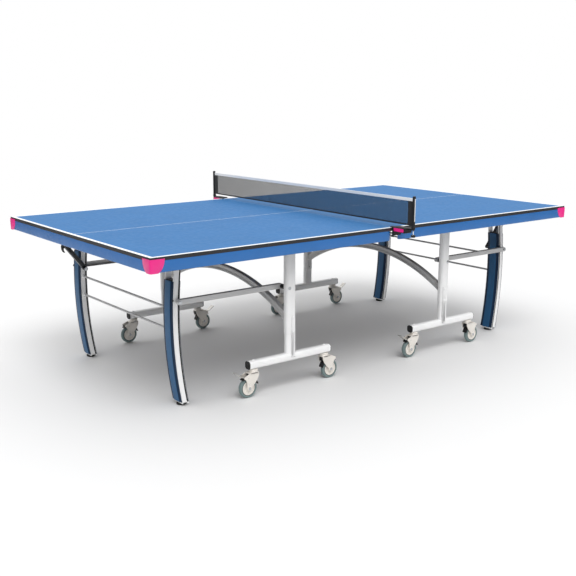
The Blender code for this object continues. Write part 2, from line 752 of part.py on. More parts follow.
def add_castor(name, shapes, finish, frame, place, outward, braked):
    """A fork on its swivel axis, with its wheel and, on two of a half's four, its pedal."""
    turn = math.pi if outward < 0 else 0.0
    swivel = axis_at(name + "_swivel_axis", (0, 0, 0), frame)
    swivel.location = place
    swivel.rotation_euler.z = turn
    add(name + "_fork", shapes["braked_fork" if braked else "fork"], finish["fork"], swivel)
    add(name + "_wheel", shapes["wheel"], finish["tyre"], swivel, (TRAIL, 0, WHEEL_RADIUS))
    if braked:
        hinge = (PEDAL_PIVOT[0], 0, PEDAL_PIVOT[1])
        add(name + "_brake_pedal", shapes["pedal"], finish["pedal"], swivel, hinge)


def add_half(half, turn, shapes, finish):
    """Every piece of one half, hung from the axes that it turns about."""
    side_names = ("front", "back") if turn == 0 else ("back", "front")
    frame = axis_at(half + "_half", (0, 0, 0))
    frame.rotation_euler.z = turn
    tilt = axis_at(half + "_tilt_axis", (TOP_PIVOT[0], 0, TOP_PIVOT[1]), frame)
    fold = axis_at(half + "_leg_axis", (LEG_PIVOT[0], 0, LEG_PIVOT[1]), tilt)
    swing = axis_at(half + "_strut_axis", (STRUT_PIVOT[0], 0, STRUT_PIVOT[1]), frame)
    brace = axis_at(half + "_stay_axis", (STRUT_END[0], 0, STRUT_END[1]), fold)
    add(half + "_top_panel", shapes["top_panel"], finish["surface"], tilt)
    add(half + "_apron_frame", shapes["apron_frame"], finish["apron"], tilt)
    add(half + "_arch_brace", shapes["arch_brace"], finish["frame"], frame)
    add(half + "_leg_frame", shapes["leg_frame"], finish["frame"], fold)
    add(half + "_leg_stay", shapes["leg_stay"], finish["stay"], brace)
    for side, side_name in zip((-1, 1), side_names):
        name = f"{half}_{side_name}_"
        add(name + "corner_protector", shapes["corner_protector", side], finish["protector"], tilt)
        add(name + "upright", shapes["upright", side], finish["base"], frame)
        add(name + "base", shapes["base", side], finish["base"], frame)
        add(name + "leg_cover", shapes["leg_cover", side], finish["cover"], fold)
        add(name + "strut", shapes["strut", side], finish["frame"], swing)
        stem = Vector((leg_x(LEG_BOTTOM), side * LEG_Y, 0)) - Vector(fold["point"])
        add(name + "foot", shapes["foot"], finish["rubber"], fold, stem)
        for x, position, outward in zip(CASTOR_X, ("outer", "inner"), (-1, 1)):
            braked = (position == "outer") == (side < 0)
            place = (x, side * POST_Y, 0)
            add_castor(name + position, shapes, finish, frame, place, outward, braked)
    return tilt


def add_net(tilt, finish):
    """The net and its clamps, which ride on the left top."""
    add("net", net(), finish["net"], tilt)
    front = net_clamp()
    screw = clamp_screw()
    x, y, _ = CLAMP_SCREW
    for name, side, mesh in (("front", -1, front), ("back", 1, mirrored(front))):
        add(name + "_net_clamp", mesh, finish["clamp"], tilt)
        place = Vector((x, side * y, 0)) - Vector(tilt["point"])
        add(name + "_clamp_screw", screw, finish["clamp"], tilt, place)


def main():
    clear_scene()
    finish = make_materials()
    shapes = make_meshes()
    left_tilt = add_half("left", 0.0, shapes, finish)
    add_half("right", math.pi, shapes, finish)
    add_net(left_tilt, finish)


main()
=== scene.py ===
"""Looks of the ping pong table: two rollaway halves with a clamped net.

Every piece is drawn once, in the left half's own frame (X < 0), for its front side (Y < 0).
The back side is its mirror image, and the right half is the left one turned about Z.
"""

import json
import math
import random

import bmesh
import bpy
from mathutils import Euler, Matrix, Vector


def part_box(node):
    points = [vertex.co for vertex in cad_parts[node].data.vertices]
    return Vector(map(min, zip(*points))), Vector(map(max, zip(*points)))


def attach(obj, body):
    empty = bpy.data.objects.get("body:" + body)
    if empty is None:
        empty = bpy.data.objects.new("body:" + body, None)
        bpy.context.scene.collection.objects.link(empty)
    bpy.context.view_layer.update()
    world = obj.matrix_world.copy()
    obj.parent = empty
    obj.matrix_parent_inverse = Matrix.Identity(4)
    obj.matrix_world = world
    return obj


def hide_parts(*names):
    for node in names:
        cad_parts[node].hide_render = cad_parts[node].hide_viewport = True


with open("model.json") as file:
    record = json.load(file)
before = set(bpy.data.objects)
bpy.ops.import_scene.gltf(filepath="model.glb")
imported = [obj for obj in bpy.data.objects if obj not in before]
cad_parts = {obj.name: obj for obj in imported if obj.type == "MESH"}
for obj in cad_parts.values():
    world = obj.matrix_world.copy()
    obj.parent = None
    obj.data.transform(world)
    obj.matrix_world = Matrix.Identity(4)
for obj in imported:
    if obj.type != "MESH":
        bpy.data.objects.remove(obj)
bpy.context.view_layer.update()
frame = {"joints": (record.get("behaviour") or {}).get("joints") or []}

# ---- sizes, in metres ----------------------------------------------------------------------

PIVOTS = {joint["name"]: joint["pos_m"] for joint in frame["joints"] if "pos_m" in joint}


def pivot(joint):
    """A joint's axis along Y, as (x, z)."""
    place = PIVOTS[joint]
    return (place[0], place[2])


TOP_PIVOT = pivot("left_top_tilt")
LEG_PIVOT = pivot("left_leg_fold")
STRUT_PIVOT = pivot("left_strut_swing")
STRUT_END = pivot("left_stay_swing")

BOARD_LOW, BOARD_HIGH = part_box("left_top_panel")
END_X = BOARD_LOW.x
NET_X = BOARD_HIGH.x
SIDE_Y = BOARD_HIGH.y
BOARD_Z = BOARD_LOW.z
SURFACE_Z = BOARD_HIGH.z
BAND = 0.0015
EDGE_LINE = 0.020
CENTRE_LINE = 0.003

APRON_LOW, APRON_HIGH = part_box("left_apron_frame")
APRON_NET_X = -0.020
APRON_RETURN_Y = 0.7443
APRON_NET_RADIUS = 0.040
APRON_END_RADIUS = 0.004
STEEL = 0.002
LIP = 0.015
FOLD = 0.004
RAIL_X = (LEG_PIVOT[0] - 0.036, TOP_PIVOT[0] - 0.038, -0.300)
RAIL_WIDTH = 0.030
RAIL_DEPTH = 0.022
TAB_REACH = 0.014

PROTECTOR_LOW, PROTECTOR_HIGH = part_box("left_front_corner_protector")
PROTECTOR_BOTTOM = 0.042
PROTECTOR_TOP = 0.066
PROTECTOR_THICK = 0.0035
PROTECTOR_RADIUS = 0.009

POST_LOW, POST_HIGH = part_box("left_front_upright")
POST_X = -0.536
POST_Y = 0.595
POST_SIZE = (0.058, 0.036)
POST_RADIUS = 0.015
SHANK_TOP = 0.396
BASE_LOW, BASE_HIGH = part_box("left_front_base")
BAR_SIZE = 0.040
BAR_RADIUS = 0.014
PLUG = 0.0045
BAR_TOP = BASE_LOW.z + BAR_SIZE
STRAP_X = -0.5285
STRAP_SIZE = (0.021, 0.0045)
STRAP_Z = (0.156, 0.362)
STRAP_BOLTS = (0.285, 0.352)

ARCH_LOW, ARCH_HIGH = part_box("left_arch_brace")
ARCH_RADIUS = 1.150
ARCH_DEPTH = 0.036
ARCH_WIDTH = ARCH_HIGH.x - ARCH_LOW.x
ARCH_PLATE = 0.004
ARCH_PLATE_TOP = 0.378

CASTOR_X = {"outer": -0.752, "inner": -0.319}
TRAIL = 0.034
WHEEL_RADIUS = 0.048
ARM_INNER = 0.0165
ARM_OUTER = 0.0195
PEDAL_PIVOT = (0.056, 0.1035)

LEG_Y = 0.478
LEG_APEX = (-1.117, 0.400)
LEG_RADIUS = 2.000
LEG_HALF_X = 0.017
LEG_HALF_Y = 0.042
LEG_RAIL = 0.010
RAIL_CHANNEL = (0.0075, 0.0145, 0.0045)
LEG_BOTTOM = 0.0125
CORE_TOP = 0.590
CORE_FACE = 0.0052
CORE_RAISED = 0.0245
CORE_FLOOR = 0.0010
ROD_RADIUS = 0.0055
ROD_Z = (0.358, 0.457)
FOOT_RADIUS = 0.0225

STRUT_HEIGHT = 0.024
STRUT_Y = (0.5245, 0.5485)
STAY_LENGTH = 0.254
STAY_ANGLE = 52.3
STAY_HEIGHT = 0.022
STAY_Y = (0.412, 0.432)

NET_LOW, NET_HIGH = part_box("net")
NET_TAPE = 0.015
NET_SLEEVE = 0.030
NET_PITCH = 0.0050
NET_STRAND = (0.0014, 0.0012)
NET_POST_Y = 0.878
CLAMP_X = (-0.030, 0.022)
CLAMP_Z = (0.722, 0.740, 0.7575, 0.766)
CLAMP_PLATE_Y = 0.775
CLAMP_HOUSING_Y = 0.848
CLAMP_LUG = 0.0084
CLAMP_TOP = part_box("front_net_clamp")[1].z
UPPER_JAW_Y = 0.7486
LOWER_JAW_X = -0.0185
LOWER_JAW_Y = 0.7365
LOWER_JAW_Z = (0.7268, 0.7328)
HEIGHT_KNOB = 0.0115
HEIGHT_KNOB_Z = (0.7225, 0.735)
CLAMP_SCREW = (-0.0105, 0.748)
CLAMP_KNOB = 0.0067
CLAMP_KNOB_Z = (0.7105, 0.7225)
# Each step up a hand knob: its share of the radius, and of the height.
KNOB_STEPS = ((0.80, 0.02), (0.95, 0.12), (1.0, 0.32), (1.0, 0.72), (0.92, 0.90), (0.55, 0.98))

FINE = 48
WASHER = 0.001
SHARP = math.radians(38)

# The stage: how bright the sky is low and high, where the floor fades out, and the camera.
SKY = (0.05, 1.15)
SKY_RISE = (0.06, 0.55)
SUN_WAY = (-0.25, -0.60, 1.0)
SUN_ANGLE = math.radians(40)
SUN_STRENGTH = 1.3
FLOOR_RADIUS = 14.0
FLOOR_FADE = (2.6, 7.0)
CAMERA_PLACE = (-3.0434, -3.8378, 1.4074)
CAMERA_TURN = (77.4624, -0.0118, -37.6101)
CAMERA_LENS = 54.96


# ---- shapes --------------------------------------------------------------------------------


def at(axis, point, depth):
    """A point of the plane across an axis, at a depth along it."""
    if axis == "X":
        return (depth, point[0], point[1])
    if axis == "Y":
        return (point[0], depth, point[1])
    return (point[0], point[1], depth)


def loft(bm, rings, material=0, closed=False):
    """A skin through rings of equal length: capped at both ends, or closed on itself."""
    loops = [[bm.verts.new(point) for point in ring] for ring in rings]
    count = len(loops[0])
    pairs = list(zip(loops, loops[1:]))
    if closed:
        pairs.append((loops[-1], loops[0]))
    faces = []
    for low, high in pairs:
        for i in range(count):
            j = (i + 1) % count
            faces.append(bm.faces.new((low[i], low[j], high[j], high[i])))
    if not closed:
        faces.append(bm.faces.new(loops[0]))
        faces.append(bm.faces.new(loops[-1]))
    for face in faces:
        face.material_index = material
    return faces


def stack(bm, axis, layers, material=0, closed=False):
    """A skin through outlines of equal length, each given with its depth along an axis."""
    return loft(bm, [[at(axis, p, d) for p in line] for line, d in layers], material, closed)


def prism(bm, outline, axis, low, high, material=0):
    return stack(bm, axis, ((outline, low), (outline, high)), material)


def tube(bm, outside, inside, axis, low, high):
    """An open-ended tube between two outlines of equal length."""
    layers = ((outside, low), (outside, high), (inside, high), (inside, low))
    stack(bm, axis, layers, closed=True)


def pan(bm, outside, inside, axis, face, rim, floor):
    """A shallow pressed shape: a face, walls up to a rim, and a floor behind the face."""
    stack(bm, axis, ((outside, face), (outside, rim), (inside, rim), (inside, floor)))


def box(bm, x, y, z):
    outline = [(x[0], y[0]), (x[1], y[0]), (x[1], y[1]), (x[0], y[1])]
    prism(bm, outline, "Z", z[0], z[1])


def arc(centre, radius, start, end, steps):
    angles = [math.radians(start + (end - start) * i / steps) for i in range(steps + 1)]
    return [(centre[0] + radius * math.cos(a), centre[1] + radius * math.sin(a)) for a in angles]


def circle(centre, radius, steps=FINE):
    return arc(centre, radius, 0, 360, steps)[:-1]


def rod(bm, axis, centre, radius, low, high, steps=24):
    prism(bm, circle(centre, radius, steps), axis, low, high)


def lathe(bm, profile, axis, centre, material=0, steps=FINE, closed=False):
    """A turned shape from (radius, depth) points. An open profile starts and ends on the axis."""
    rings = []
    for i in range(steps):
        angle = math.tau * i / steps
        cos, sin = math.cos(angle), math.sin(angle)
        rings.append([at(axis, (centre[0] + r * cos, centre[1] + r * sin), d) for r, d in profile])
    loops = [[bm.verts.new(point) for point in ring] for ring in rings]
    last = len(profile) if closed else len(profile) - 1
    for near, far in zip(loops, loops[1:] + loops[:1]):
        for j in range(last):
            k = (j + 1) % len(profile)
            face = bm.faces.new((near[j], near[k], far[k], far[j]))
            face.material_index = material


def ring(bm, centre, radii, span):
    """A plain ring about Y: its inner and outer radius, and the depths that it spans."""
    inner, outer = radii
    near, far = span
    profile = [(inner, near), (outer, near), (outer, far), (inner, far)]
    lathe(bm, profile, "Y", centre, 0, 28, closed=True)


def thread(low, high, pitch, crest, root):
    """The profile of a threaded shank, as many whole turns as fit between two depths."""
    turns = int((high - low) / pitch)
    profile = [(0, low)]
    for i in range(turns):
        profile += [(crest, low + i * pitch), (root, low + i * pitch + pitch / 2)]
    return profile + [(0, low + turns * pitch)]


def rounded(centre, size, radius, steps=8):
    """A rectangle with rounded corners."""
    across, up = size[0] / 2 - radius, size[1] / 2 - radius
    points = []
    for turn, (x, y) in enumerate(((across, up), (-across, up), (-across, -up), (across, -up))):
        points += arc((centre[0] + x, centre[1] + y), radius, 90 * turn, 90 * turn + 90, steps)
    return points


def stadium(start, end, radius, steps=14):
    """The outline of a flat bar with round ends between two centres."""
    angle = math.degrees(math.atan2(end[1] - start[1], end[0] - start[0]))
    far = arc(end, radius, angle - 90, angle + 90, steps)
    return far + arc(start, radius, angle + 90, angle + 270, steps)


def hex_head(bm, axis, centre, seat, out, across, height):
    """A hexagon bolt head on a washer. out is the way it faces along the axis."""
    base, reach = seat + out * WASHER, across * 0.66
    lathe(bm, [(0, seat), (reach, seat), (reach, base), (0, base)], axis, centre, 0, 24)
    layers = []
    for share, rise in ((1, 0), (1, 0.75), (0.88, 1)):
        layers.append((circle(centre, across / 2 * share / 0.93, 6), base + out * height * rise))
    stack(bm, axis, layers)


def dome_head(bm, axis, centre, seat, out, radius, height, material=0):
    """A round bolt head with a socket in its crown."""
    profile = [(0, seat), (radius, seat), (radius, seat + out * height * 0.25)]
    for r, z in arc((0, 0), 1, 15, 62, 5):
        profile.append((radius * r, seat + out * height * (0.15 + 0.85 * z)))
    crown = profile[-1][1]
    socket = crown - out * height * 0.45
    profile += [(radius * 0.38, crown), (radius * 0.30, socket), (0, socket)]
    lathe(bm, profile, axis, centre, material, 28)


# ---- the top of a half ---------------------------------------------------------------------


def board(bm):
    """The board without its edge band: blue, with white lines along three edges and the middle."""
    xs = (END_X + BAND, END_X + EDGE_LINE, NET_X)
    side, middle = SIDE_Y - BAND, CENTRE_LINE / 2
    inner = SIDE_Y - EDGE_LINE
    ys = (-side, -inner, -middle, middle, inner, side)
    grid = [[[bm.verts.new((x, y, z)) for z in (BOARD_Z, SURFACE_Z)] for y in ys] for x in xs]
    for i in range(len(xs) - 1):
        for j in range(len(ys) - 1):
            corners = (grid[i][j], grid[i + 1][j], grid[i + 1][j + 1], grid[i][j + 1])
            top = bm.faces.new([corner[1] for corner in corners])
            under = bm.faces.new([corner[0] for corner in corners])
            top.material_index = 1 if i == 0 or j in (0, 2, 4) else 0
            under.material_index = 2
    border = [grid[0][j] for j in range(len(ys))] + [grid[1][-1]]
    border += [grid[2][j] for j in reversed(range(len(ys)))] + [grid[1][0]]
    for near, far in zip(border, border[1:] + border[:1]):
        bm.faces.new((near[0], far[0], far[1], near[1])).material_index = 2


def edge_band(bm):
    """The black band on the board's end and long sides, with softened corners."""
    radius = 0.003
    corners = ((END_X + radius, SIDE_Y - radius, 90), (END_X + radius, -SIDE_Y + radius, 180))
    outside = [(NET_X, SIDE_Y)]
    inside = [(NET_X, SIDE_Y - BAND)]
    for x, y, start in corners:
        outside += arc((x, y), radius, start, start + 90, 5)
        inside += arc((x, y), radius - BAND, start, start + 90, 5)
    outside.append((NET_X, -SIDE_Y))
    inside.append((NET_X, -SIDE_Y + BAND))
    top = SURFACE_Z - 0.0003
    soft = 0.0006
    sections = []
    for out, into in zip(outside, inside):
        out, into = Vector(out), Vector(into)
        eased = out.lerp(into, soft / BAND)
        upper = [(*out, top - soft), (*eased, top), (*into, top)]
        sections.append([(*out, BOARD_Z), *upper, (*into, BOARD_Z)])
    loft(bm, sections)


def apron_outline(inset):
    """The apron seen from above: square at the end, curled in at the net, and open between."""
    side = SIDE_Y - inset
    corners = (
        (APRON_NET_X - inset, side, APRON_NET_RADIUS, 0),
        (END_X + inset, side, APRON_END_RADIUS, 90),
        (END_X + inset, -side, APRON_END_RADIUS, 180),
        (APRON_NET_X - inset, -side, APRON_NET_RADIUS, 270),
    )
    points = []
    for x, y, full_radius, first in corners:
        radius = max(full_radius - inset, 0.0006)
        centre = (x - math.copysign(radius, x - POST_X), y - math.copysign(radius, y))
        last = first + 90
        if full_radius == APRON_NET_RADIUS:
            rise = (APRON_RETURN_Y - abs(centre[1])) / radius
            cut = math.degrees(math.asin(min(1.0, max(0.0, rise))))
            first, last = (cut, last) if y > 0 else (first, 360 - cut)
        points += arc(centre, radius, first, last, 12 if full_radius == APRON_NET_RADIUS else 4)
    return points


def apron(bm):
    """A folded steel sheet: an upright wall, and a lip turned in under it."""
    low, high = APRON_LOW.z, APRON_HIGH.z
    section = [(0, high)]
    section += [(FOLD + u, low + FOLD + v) for u, v in arc((0, 0), FOLD, 180, 270, 5)]
    section += [(LIP, low), (LIP, low + STEEL)]
    section += [(FOLD + u, low + FOLD + v) for u, v in arc((0, 0), FOLD - STEEL, 270, 180, 5)]
    section.append((STEEL, high))
    lines = [[(*p, z) for p in apron_outline(inset)] for inset, z in section]
    loft(bm, [list(ring) for ring in zip(*lines)])


def cross_rails(bm):
    """The angles across the apron, with the tabs that carry the hinges."""
    top, reach = APRON_HIGH.z, SIDE_Y - STEEL - 0.0004
    for x in RAIL_X:
        section = [(x - RAIL_WIDTH, top), (x - RAIL_WIDTH, top - STEEL)]
        section += arc((x - FOLD, top - FOLD), FOLD - STEEL, 90, 0, 4)
        section += [(x - STEEL, top - RAIL_DEPTH), (x, top - RAIL_DEPTH)]
        section += arc((x - FOLD, top - FOLD), FOLD, 0, 90, 4)
        prism(bm, section, "Y", -reach, reach)
    for centre, rail_x, low, high in (
        (LEG_PIVOT, RAIL_X[0], LEG_Y - 0.008, LEG_Y + 0.008),
        (TOP_PIVOT, RAIL_X[1], 0.554, 0.564),
    ):
        x, z = centre
        outline = [(rail_x - STEEL, top), (rail_x - STEEL, z - TAB_REACH)]
        outline += arc(centre, TAB_REACH, -90, 0, 10) + [(x + TAB_REACH, top)]
        for side in (-1, 1):
            prism(bm, outline, "Y", *sorted((side * low, side * high)))


def protector(bm):
    """A moulded cap round the corner, wide at its top and drawn in towards its foot."""
    low, high = PROTECTOR_LOW.z, PROTECTOR_HIGH.z
    corner = Vector((END_X, -SIDE_Y))
    rings = []
    levels = 9
    for i in range(levels):
        share = i / (levels - 1)
        widening = math.sin(share * math.pi / 2) ** 0.8
        along = PROTECTOR_BOTTOM + (PROTECTOR_TOP - PROTECTOR_BOTTOM) * widening
        along -= 0.007 * (1 - share) ** 8
        swell = PROTECTOR_THICK * (0.70 + 0.30 * math.sin(math.pi * (0.10 + 0.62 * share)))
        radius = PROTECTOR_RADIUS - 0.002 * share
        bend = corner + Vector((radius - swell, radius - swell))
        edge = 0.0012
        outside = [(corner.x - edge, corner.y + along), (corner.x - swell, corner.y + along - 0.005)]
        outside += arc(bend, radius, 180, 270, 10)
        outside += [(corner.x + along - 0.005, corner.y - swell), (corner.x + along, corner.y - edge)]
        hug = 0.0003
        inside = [(corner.x + along, corner.y - hug), (corner.x - hug, corner.y - hug)]
        inside += [(corner.x - hug, corner.y + along)]
        z = low + (high - low) * share
        rings.append([(x, y, z) for x, y in outside + inside])
    loft(bm, rings)


# ---- the carriage --------------------------------------------------------------------------


def post(bm):
    """The outer tube of an upright, open below, closed by a plug above."""
    centre, wall = (POST_X, -POST_Y), 0.0022
    outside = rounded(centre, POST_SIZE, POST_RADIUS)
    inside = rounded(centre, [side - 2 * wall for side in POST_SIZE], POST_RADIUS - wall)
    tube(bm, outside, inside, "Z", POST_LOW.z, POST_HIGH.z)


def post_plug(bm):
    centre = (POST_X, -POST_Y)
    size = [side - 0.0046 for side in POST_SIZE]
    outline = rounded(centre, size, POST_RADIUS - 0.0024)
    prism(bm, outline, "Z", POST_HIGH.z - 0.012, POST_HIGH.z - 0.001)


def post_hinges(bm):
    """The tab and pins on the upright's inner face, and the strut bolt through it."""
    inner = -POST_Y + POST_SIZE[1] / 2
    outer = -POST_Y - POST_SIZE[1] / 2
    low = POST_HIGH.z - 0.040
    x = TOP_PIVOT[0]
    outline = [(x + 0.013, low), *arc(TOP_PIVOT, 0.013, 0, 180, 12), (x - 0.013, low)]
    prism(bm, outline, "Y", inner - 0.006, inner)
    rod(bm, "Y", TOP_PIVOT, 0.0078, inner - 0.001, -0.5530)
    rod(bm, "Y", STRUT_PIVOT, 0.0058, inner - 0.002, -STRUT_Y[0] + 0.001)
    dome_head(bm, "Y", STRUT_PIVOT, outer + 0.0002, -1, 0.0085, 0.003)


def strut_bush(bm):
    """The black spacer between the upright and the strut."""
    inner, outer = -POST_Y + POST_SIZE[1] / 2, -STRUT_Y[1] - 0.0006
    profile = [(0.0060, inner), (0.0105, inner), (0.0115, inner + 0.003)]
    profile += [(0.0115, -STRUT_Y[1] - 0.003), (0.0105, outer), (0.0060, outer)]
    lathe(bm, profile, "Y", STRUT_PIVOT, 0, 32, closed=True)


def grooved(outline, centre, depth, width, marks):
    """An outline with shallow grooves along its upright sides, at heights above the centre."""
    points = []
    for near, far in zip(outline, outline[1:] + outline[:1]):
        points.append(near)
        upright = abs(near[0] - far[0]) < 1e-6 and abs(near[1] - far[1]) > 2 * width
        if not upright:
            continue
        way = math.copysign(1, far[1] - near[1])
        into = math.copysign(depth, centre[0] - near[0])
        for mark in sorted(marks, key=lambda height: way * height):
            middle = centre[1] + mark
            points.append((near[0], middle - way * width))
            points.append((near[0] + into, middle - way * width / 3))
            points.append((near[0] + into, middle + way * width / 3))
            points.append((near[0], middle + way * width))
    return points


def base_bar(bm):
    """The bar with the post that stands on it, welded round its foot."""
    centre = (-POST_Y, BASE_LOW.z + BAR_SIZE / 2)
    wall = 0.0026
    start, end = BASE_LOW.x + PLUG, BASE_HIGH.x - PLUG
    outside = rounded(centre, (BAR_SIZE, BAR_SIZE), BAR_RADIUS)
    inside = rounded(centre, (BAR_SIZE - 2 * wall,) * 2, BAR_RADIUS - wall)
    marks = (-0.0045, 0.0045)
    outside = grooved(outside, centre, 0.0011, 0.0011, marks)
    inside = grooved(inside, centre, 0.0, 0.0011, marks)
    tube(bm, outside, inside, "X", start, end)
    play = 0.0048
    shank = [side - play for side in POST_SIZE]
    radius = POST_RADIUS - play / 2
    weld = ((0.004, BAR_TOP - 0.004), (0.004, BAR_TOP + 0.0005), (0.0, BAR_TOP + 0.0035))
    layers = []
    for grow, z in (*weld, (0.0, SHANK_TOP)):
        size = [side + grow for side in shank]
        layers.append((rounded((POST_X, -POST_Y), size, radius + grow / 2), z))
    stack(bm, "Z", layers)


def strap(bm):
    """The flat strap on the outer face, from the bar up over the seam of the upright."""
    width, thick = STRAP_SIZE
    low, high = STRAP_Z
    face = -POST_Y - POST_SIZE[1] / 2 - 0.0003
    sides = (STRAP_X - width / 2, STRAP_X + width / 2)
    crown = arc((STRAP_X, high - width / 2), width / 2, 0, 180, 12)
    outline = [(sides[1], low), *crown, (sides[0], low)]
    prism(bm, outline, "Y", face - thick, face)
    box(bm, sides, (face - thick, -POST_Y - BAR_SIZE / 2 + 0.001), (low, BAR_TOP - BAR_RADIUS))


def base_bolts(bm):
    """Two round heads on the strap."""
    face = -POST_Y - POST_SIZE[1] / 2 - STRAP_SIZE[1]
    for z in STRAP_BOLTS:
        dome_head(bm, "Y", (STRAP_X, z), face, -1, 0.0078, 0.0042)


def stem_nuts(bm):
    """A domed nut over each castor stem."""
    for x in CASTOR_X.values():
        seat = BAR_TOP - 0.0002
        dome = [(0, seat), (0.0080, seat), (0.0080, seat + 0.0012)]
        dome += [(r, seat + 0.0012 + z) for r, z in arc((0, -0.0035), 0.0072, 30, 84, 6)]
        dome.append((0, seat + 0.0049))
        lathe(bm, dome, "Z", (x, -POST_Y), 0, 28)


def bar_plugs(bm):
    """Moulded end plugs: a rounded flange, two raised rings and a dished middle."""
    centre = (-POST_Y, BASE_LOW.z + BAR_SIZE / 2)
    dish = 0.0016
    flange = ((0, PLUG - 0.0002), (0, 0.0022), (0.0012, 0.0010), (0.0040, 0.0004), (0.0100, dish))
    for end, out in ((BASE_LOW.x, -1), (BASE_HIGH.x, 1)):
        layers = []
        for shrink, depth in flange:
            size = (BAR_SIZE - 0.0004 - shrink,) * 2
            outline = rounded(centre, size, BAR_RADIUS - 0.0002 - shrink / 2)
            layers.append((outline, end - out * depth))
        stack(bm, "X", layers)
        floor = end - out * dish
        for inner, outer, rise in ((0.0096, 0.0122, 0.0014), (0.0040, 0.0066, 0.0012)):
            lip, soft = floor + out * rise, 0.0007
            profile = [(inner, floor), (inner + soft, lip), (outer - soft, lip), (outer, floor)]
            lathe(bm, profile, "X", centre, 0, 40, closed=True)


def arch(bm):
    """A rolled channel, grooved along both faces, that springs from plate to plate."""
    half, soft, groove = ARCH_WIDTH / 2, 0.004, 0.0018
    section = []
    for x, r, start in ((half - soft, -soft, 0), (-half + soft, -soft, 90)):
        section += arc((x, r), soft, start, start + 90, 4)
    channel = [(half, -0.011), (half - groove, -0.0135), (half - groove, -0.0225), (half, -0.025)]
    section += [(-x, r) for x, r in channel]
    for x, r, start in ((-half + soft, soft - ARCH_DEPTH, 180), (half - soft, soft - ARCH_DEPTH, 270)):
        section += arc((x, r), soft, start, start + 90, 4)
    section += channel[::-1]
    reach = ARCH_HIGH.y - ARCH_PLATE + 0.0005
    centre_z = ARCH_HIGH.z - ARCH_RADIUS
    steps = 48
    rings = []
    for i in range(steps + 1):
        share = 2 * i / steps - 1
        ring = []
        for x, depth in section:
            radius = ARCH_RADIUS + depth
            angle = share * math.asin(reach / radius)
            ring.append((POST_X + x, radius * math.sin(angle), centre_z + radius * math.cos(angle)))
        rings.append(ring)
    loft(bm, rings)
    for side in (-1, 1):
        span = sorted((side * ARCH_HIGH.y, side * (ARCH_HIGH.y - ARCH_PLATE)))
        middle = (ARCH_LOW.z + ARCH_PLATE_TOP) / 2
        outline = rounded((POST_X, middle), (ARCH_WIDTH, ARCH_PLATE_TOP - ARCH_LOW.z), 0.006, 6)
        prism(bm, outline, "Y", *span)


def arch_bolts(bm):
    for side in (-1, 1):
        seat = side * (ARCH_HIGH.y - ARCH_PLATE)
        hex_head(bm, "Y", (POST_X, ARCH_LOW.z + 0.013), seat, -side, 0.011, 0.0045)


# ---- castors, about the swivel axis, X the way they trail ----------------------------------


def fork(bm):
    """The pressed fork: a crowned bridge and two arms that taper to the axle."""
    hub = (TRAIL, WHEEL_RADIUS)
    arm = [(0.032, 0.1215), (-0.019, 0.1215), (-0.0205, 0.117), (-0.0195, 0.105)]
    arm += [(-0.012, 0.088), (0.006, 0.066)]
    arm += arc(hub, 0.0125, 168, 372, 12)
    arm += [(0.048, 0.072), (0.0525, 0.090), (0.063, 0.099), (0.063, 0.108), (0.050, 0.113)]
    for side in (-1, 1):
        prism(bm, arm, "Y", *sorted((side * ARM_INNER, side * ARM_OUTER)))
        face, raised = side * ARM_OUTER, side * (ARM_OUTER + 0.001)
        lathe(bm, [(0, face), (0.0105, face), (0.0092, raised), (0, raised)], "Y", hub, 0, 28)
    crown = rounded((0.006, 0), (0.053, 2 * ARM_OUTER), 0.006, 5)
    prism(bm, crown, "Z", 0.1168, 0.1222)
    head = [(0, 0.1215), (0.0215, 0.1215), (0.0222, 0.1235), (0.0222, 0.1262), (0.0205, 0.1280)]
    head += [(0.0205, 0.1290), (0.0222, 0.1305), (0.0222, 0.1335), (0.0200, 0.1364), (0, 0.1364)]
    lathe(bm, head, "Z", (0, 0), 0, 40)


def fork_bolts(bm):
    """The axle nuts."""
    hub = (TRAIL, WHEEL_RADIUS)
    for side in (-1, 1):
        hex_head(bm, "Y", hub, side * (ARM_OUTER + 0.0006), side, 0.0115, 0.0022)


def wheel_guard(bm):
    """The black moulding between the arms that shields the tread, with the brake block on it."""
    hub = (TRAIL, WHEEL_RADIUS)
    outer = arc(hub, WHEEL_RADIUS + 0.0075, 165, 52, 16)
    inner = arc(hub, WHEEL_RADIUS + 0.0030, 52, 165, 16)
    prism(bm, outer + inner, "Y", -0.0145, 0.0145)
    block = [(-0.014, 0.102), (-0.0185, 0.096), (-0.0185, 0.112)]
    block += [(0.004, 0.1165), (0.030, 0.1165), (0.030, 0.1035)]
    prism(bm, block, "Y", -0.0120, 0.0120)


def tyre(bm):
    """A rounded grey tread on a dark inner ring."""
    wide = 0.0118
    tread = [(0.0368, wide - 0.0012), (0.0400, wide)]
    for degrees in range(12, 90, 13):
        angle = math.radians(degrees)
        tread.append((0.0400 + 0.0079 * math.sin(angle), wide * math.cos(angle) ** 0.75))
    tread.append((WHEEL_RADIUS - 0.0001, 0))
    profile = tread + [(r, -y) for r, y in reversed(tread[:-1])]
    lathe(bm, profile, "Y", (0, 0), 0, 72, closed=True)
    for side in (-1, 1):
        seam = [(0.0342, 0), (0.0342, side * 0.0098), (0.0366, side * 0.0104), (0.0366, 0)]
        lathe(bm, seam, "Y", (0, 0), 1, 72, closed=True)


